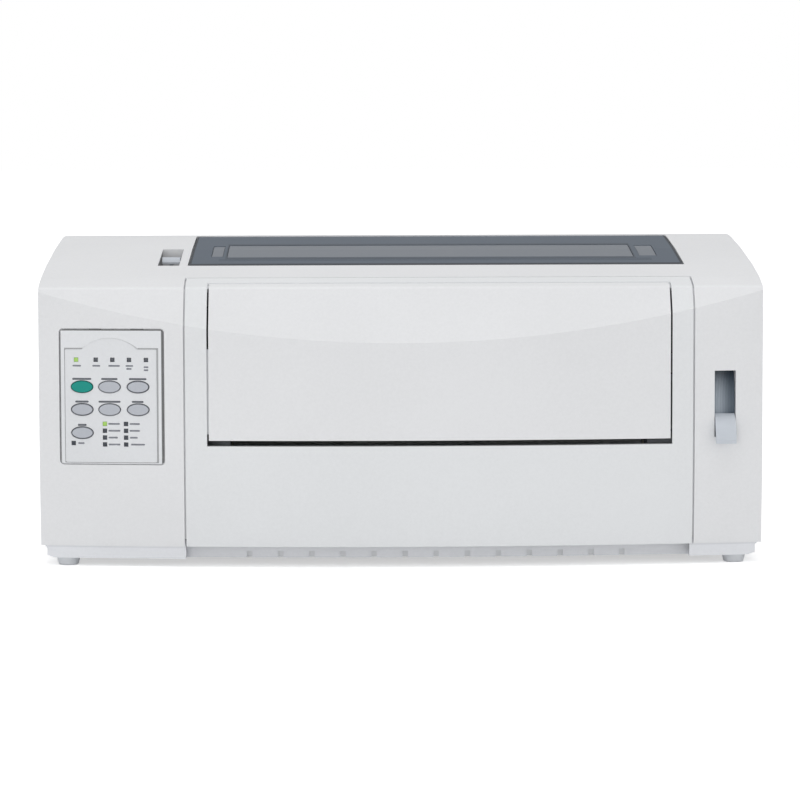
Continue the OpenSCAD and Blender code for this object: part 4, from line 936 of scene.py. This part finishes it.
def rubberFeet(facts):
    # each foot is its profile turned about an upright line; the two pole rings close it
    radius, height = np.array(facts["profile"]).T
    turn = np.linspace(0, 2 * np.pi, facts["sides"], endpoint=False)
    rim = np.stack([radius[1:-1, None] * np.cos(turn), radius[1:-1, None] * np.sin(turn),
                    height[1:-1, None] + 0 * turn], -1).reshape(-1, 3)
    poles = np.array([[0, 0, height[0]], [0, 0, height[-1]]])
    one = np.concatenate([rim, poles])
    count, rings = facts["sides"], len(radius) - 2
    ring = np.arange(count)
    after = (ring + 1) % count
    up = np.arange(rings - 1)[:, None] * count
    walls = np.stack([up + ring, up + after, up + count + after, up + count + ring], -1)
    under = np.stack([ring * 0 + rings * count, after, ring], -1)
    last = (rings - 1) * count
    over = np.stack([ring * 0 + rings * count + 1, last + ring, last + after], -1)
    places = np.array([[side * facts["x"], depth - halfDepth, 0]
                       for side in (-1, 1) for depth in facts["depths"]])
    points = (one + places[:, None, :]).reshape(-1, 3) * mm
    shift = np.arange(len(places))[:, None, None] * len(one)
    faces = (walls.reshape(-1, 4) + shift).reshape(-1, 4).tolist()
    faces += (np.concatenate([under, over]) + shift).reshape(-1, 3).tolist()
    piece = meshPiece("rubberFeetPiece", points, faces, made["footRubber"], "casing")
    piece.data.set_sharp_from_angle(angle=math.radians(facts["sharp"]))
    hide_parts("rubber_feet")


def stepLiner(facts):
    # a strip that follows the bow close behind the notched wall
    x = np.linspace(*facts["x"], facts["steps"] + 1)
    low, high = facts["z"]
    face = frontDepth(x, low) + facts["depth"] - halfDepth
    corners = ((face, low), (face, high), (face + facts["thick"], high),
               (face + facts["thick"], low))
    points = np.stack([np.stack([x, depth, z + 0 * x], -1) for depth, z in corners], 1)
    at = np.arange(facts["steps"])[:, None] * 4
    corner = np.arange(4)
    after = (corner + 1) % 4
    walls = np.stack([at + corner, at + 4 + corner, at + 4 + after, at + after], -1)
    faces = walls.reshape(-1, 4).tolist() + [[0, 1, 2, 3]]
    faces += [[4 * facts["steps"] + k for k in (3, 2, 1, 0)]]
    piece = meshPiece("stepLiner", points.reshape(-1, 3) * mm, faces, made["shellPale"],
                      "casing")
    piece.data.set_sharp_from_angle(angle=math.radians(facts["sharp"]))


rubberFeet(footFacts)
stepLiner(linerFacts)
print("feet and liner made")

# ---- studio ---------------------------------------------------------------------------

studio = {
    "floorHalf": 60.0,
    "floorColour": (0.9, 0.9, 0.9),
    "mottle": (3.0, 3.0),
    "mottleTone": 1.01,
    "floorGlow": 0.50,       # seen by the camera and in reflections only
    "farGlow": 0.3,          # added to it away from the printer
    "farRange": (0.7, 2.0),
    "worldLight": 0.60,
    # name, place, aim, width, height, watts
    "lamps": (
        ("overhead", (-0.2, -0.3, 2.6), (0, 0, 0.1), 2.6, 1.8, 22.5),
        ("frontFill", (-0.9, -3.5, 0.35), (0, 0, 0.05), 1.4, 0.6, 14.0),
        ("rightFill", (2.4, -2.2, 1.0), (0, 0, 0.12), 1.8, 1.4, 5.0),
    ),
}


def buildFloor(facts):
    # a pale floor, with a glow of its own that only the camera and reflections see
    half = facts["floorHalf"]
    mesh = bpy.data.meshes.new("floor")
    mesh.from_pydata([(-half, -half, 0), (half, -half, 0), (half, half, 0), (-half, half, 0)],
                     [], [(0, 1, 2, 3)])
    floor = bpy.data.objects.new("floor", mesh)
    bpy.context.scene.collection.objects.link(floor)
    paper = Finish("paperFloor")
    path = paper.tree.nodes.new("ShaderNodeLightPath")
    seen = Wire(paper, path.outputs["Is Camera Ray"]).atLeast(
        Wire(paper, path.outputs["Is Glossy Ray"]))
    plain = facts["floorColour"]
    diffuse = paper.node("BsdfDiffuse", {}, {
        "Color": paper.mix(paper.noise(*facts["mottle"]), plain,
                           shade(plain, facts["mottleTone"]))})
    away = paper.node("VectorMath", {"operation": "LENGTH"}, {0: paper.place}, output="Value")
    level = facts["floorGlow"] + away.ramp(*facts["farRange"]) * facts["farGlow"]
    glow = paper.node("Emission", {}, {"Strength": seen * level})
    both = paper.node("AddShader", {}, {0: diffuse, 1: glow})
    paper.node("OutputMaterial", {}, {"Surface": both})
    mesh.materials.append(paper.material)


def buildWorld(facts):
    # white to the camera and through the pane, dimmer as a light
    world = bpy.data.worlds.new("studio")
    bpy.context.scene.world = world
    world.use_nodes = True
    tree = world.node_tree
    tree.nodes.clear()
    path = tree.nodes.new("ShaderNodeLightPath")
    either = tree.nodes.new("ShaderNodeMath")
    either.operation = "MAXIMUM"
    level = tree.nodes.new("ShaderNodeMapRange")
    level.inputs["To Min"].default_value = facts["worldLight"]
    background = tree.nodes.new("ShaderNodeBackground")
    background.inputs["Color"].default_value = (1, 1, 1, 1)
    output = tree.nodes.new("ShaderNodeOutputWorld")
    tree.links.new(path.outputs["Is Camera Ray"], either.inputs[0])
    tree.links.new(path.outputs["Is Transmission Ray"], either.inputs[1])
    tree.links.new(either.outputs[0], level.inputs["Value"])
    tree.links.new(level.outputs[0], background.inputs["Strength"])
    tree.links.new(background.outputs[0], output.inputs["Surface"])


def hangLamps(facts):
    # each lamp's own z axis points away from what it is aimed at
    for name, place, aim, width, height, watts in facts["lamps"]:
        data = bpy.data.lights.new(name, "AREA")
        data.shape, data.size, data.size_y, data.energy = "RECTANGLE", width, height, watts
        lamp = bpy.data.objects.new(name, data)
        bpy.context.scene.collection.objects.link(lamp)
        back = np.array(place, float) - np.array(aim, float)
        back /= np.linalg.norm(back)
        side = np.cross((0, 0, 1), back)
        side /= np.linalg.norm(side)
        turn = np.eye(4)
        turn[:3, 0], turn[:3, 1], turn[:3, 2] = side, np.cross(back, side), back
        turn[:3, 3] = place
        lamp.matrix_world = Matrix(turn.tolist())


buildFloor(studio)
buildWorld(studio)
hangLamps(studio)
bpy.context.scene.view_settings.view_transform = "Standard"
print("studio lit")
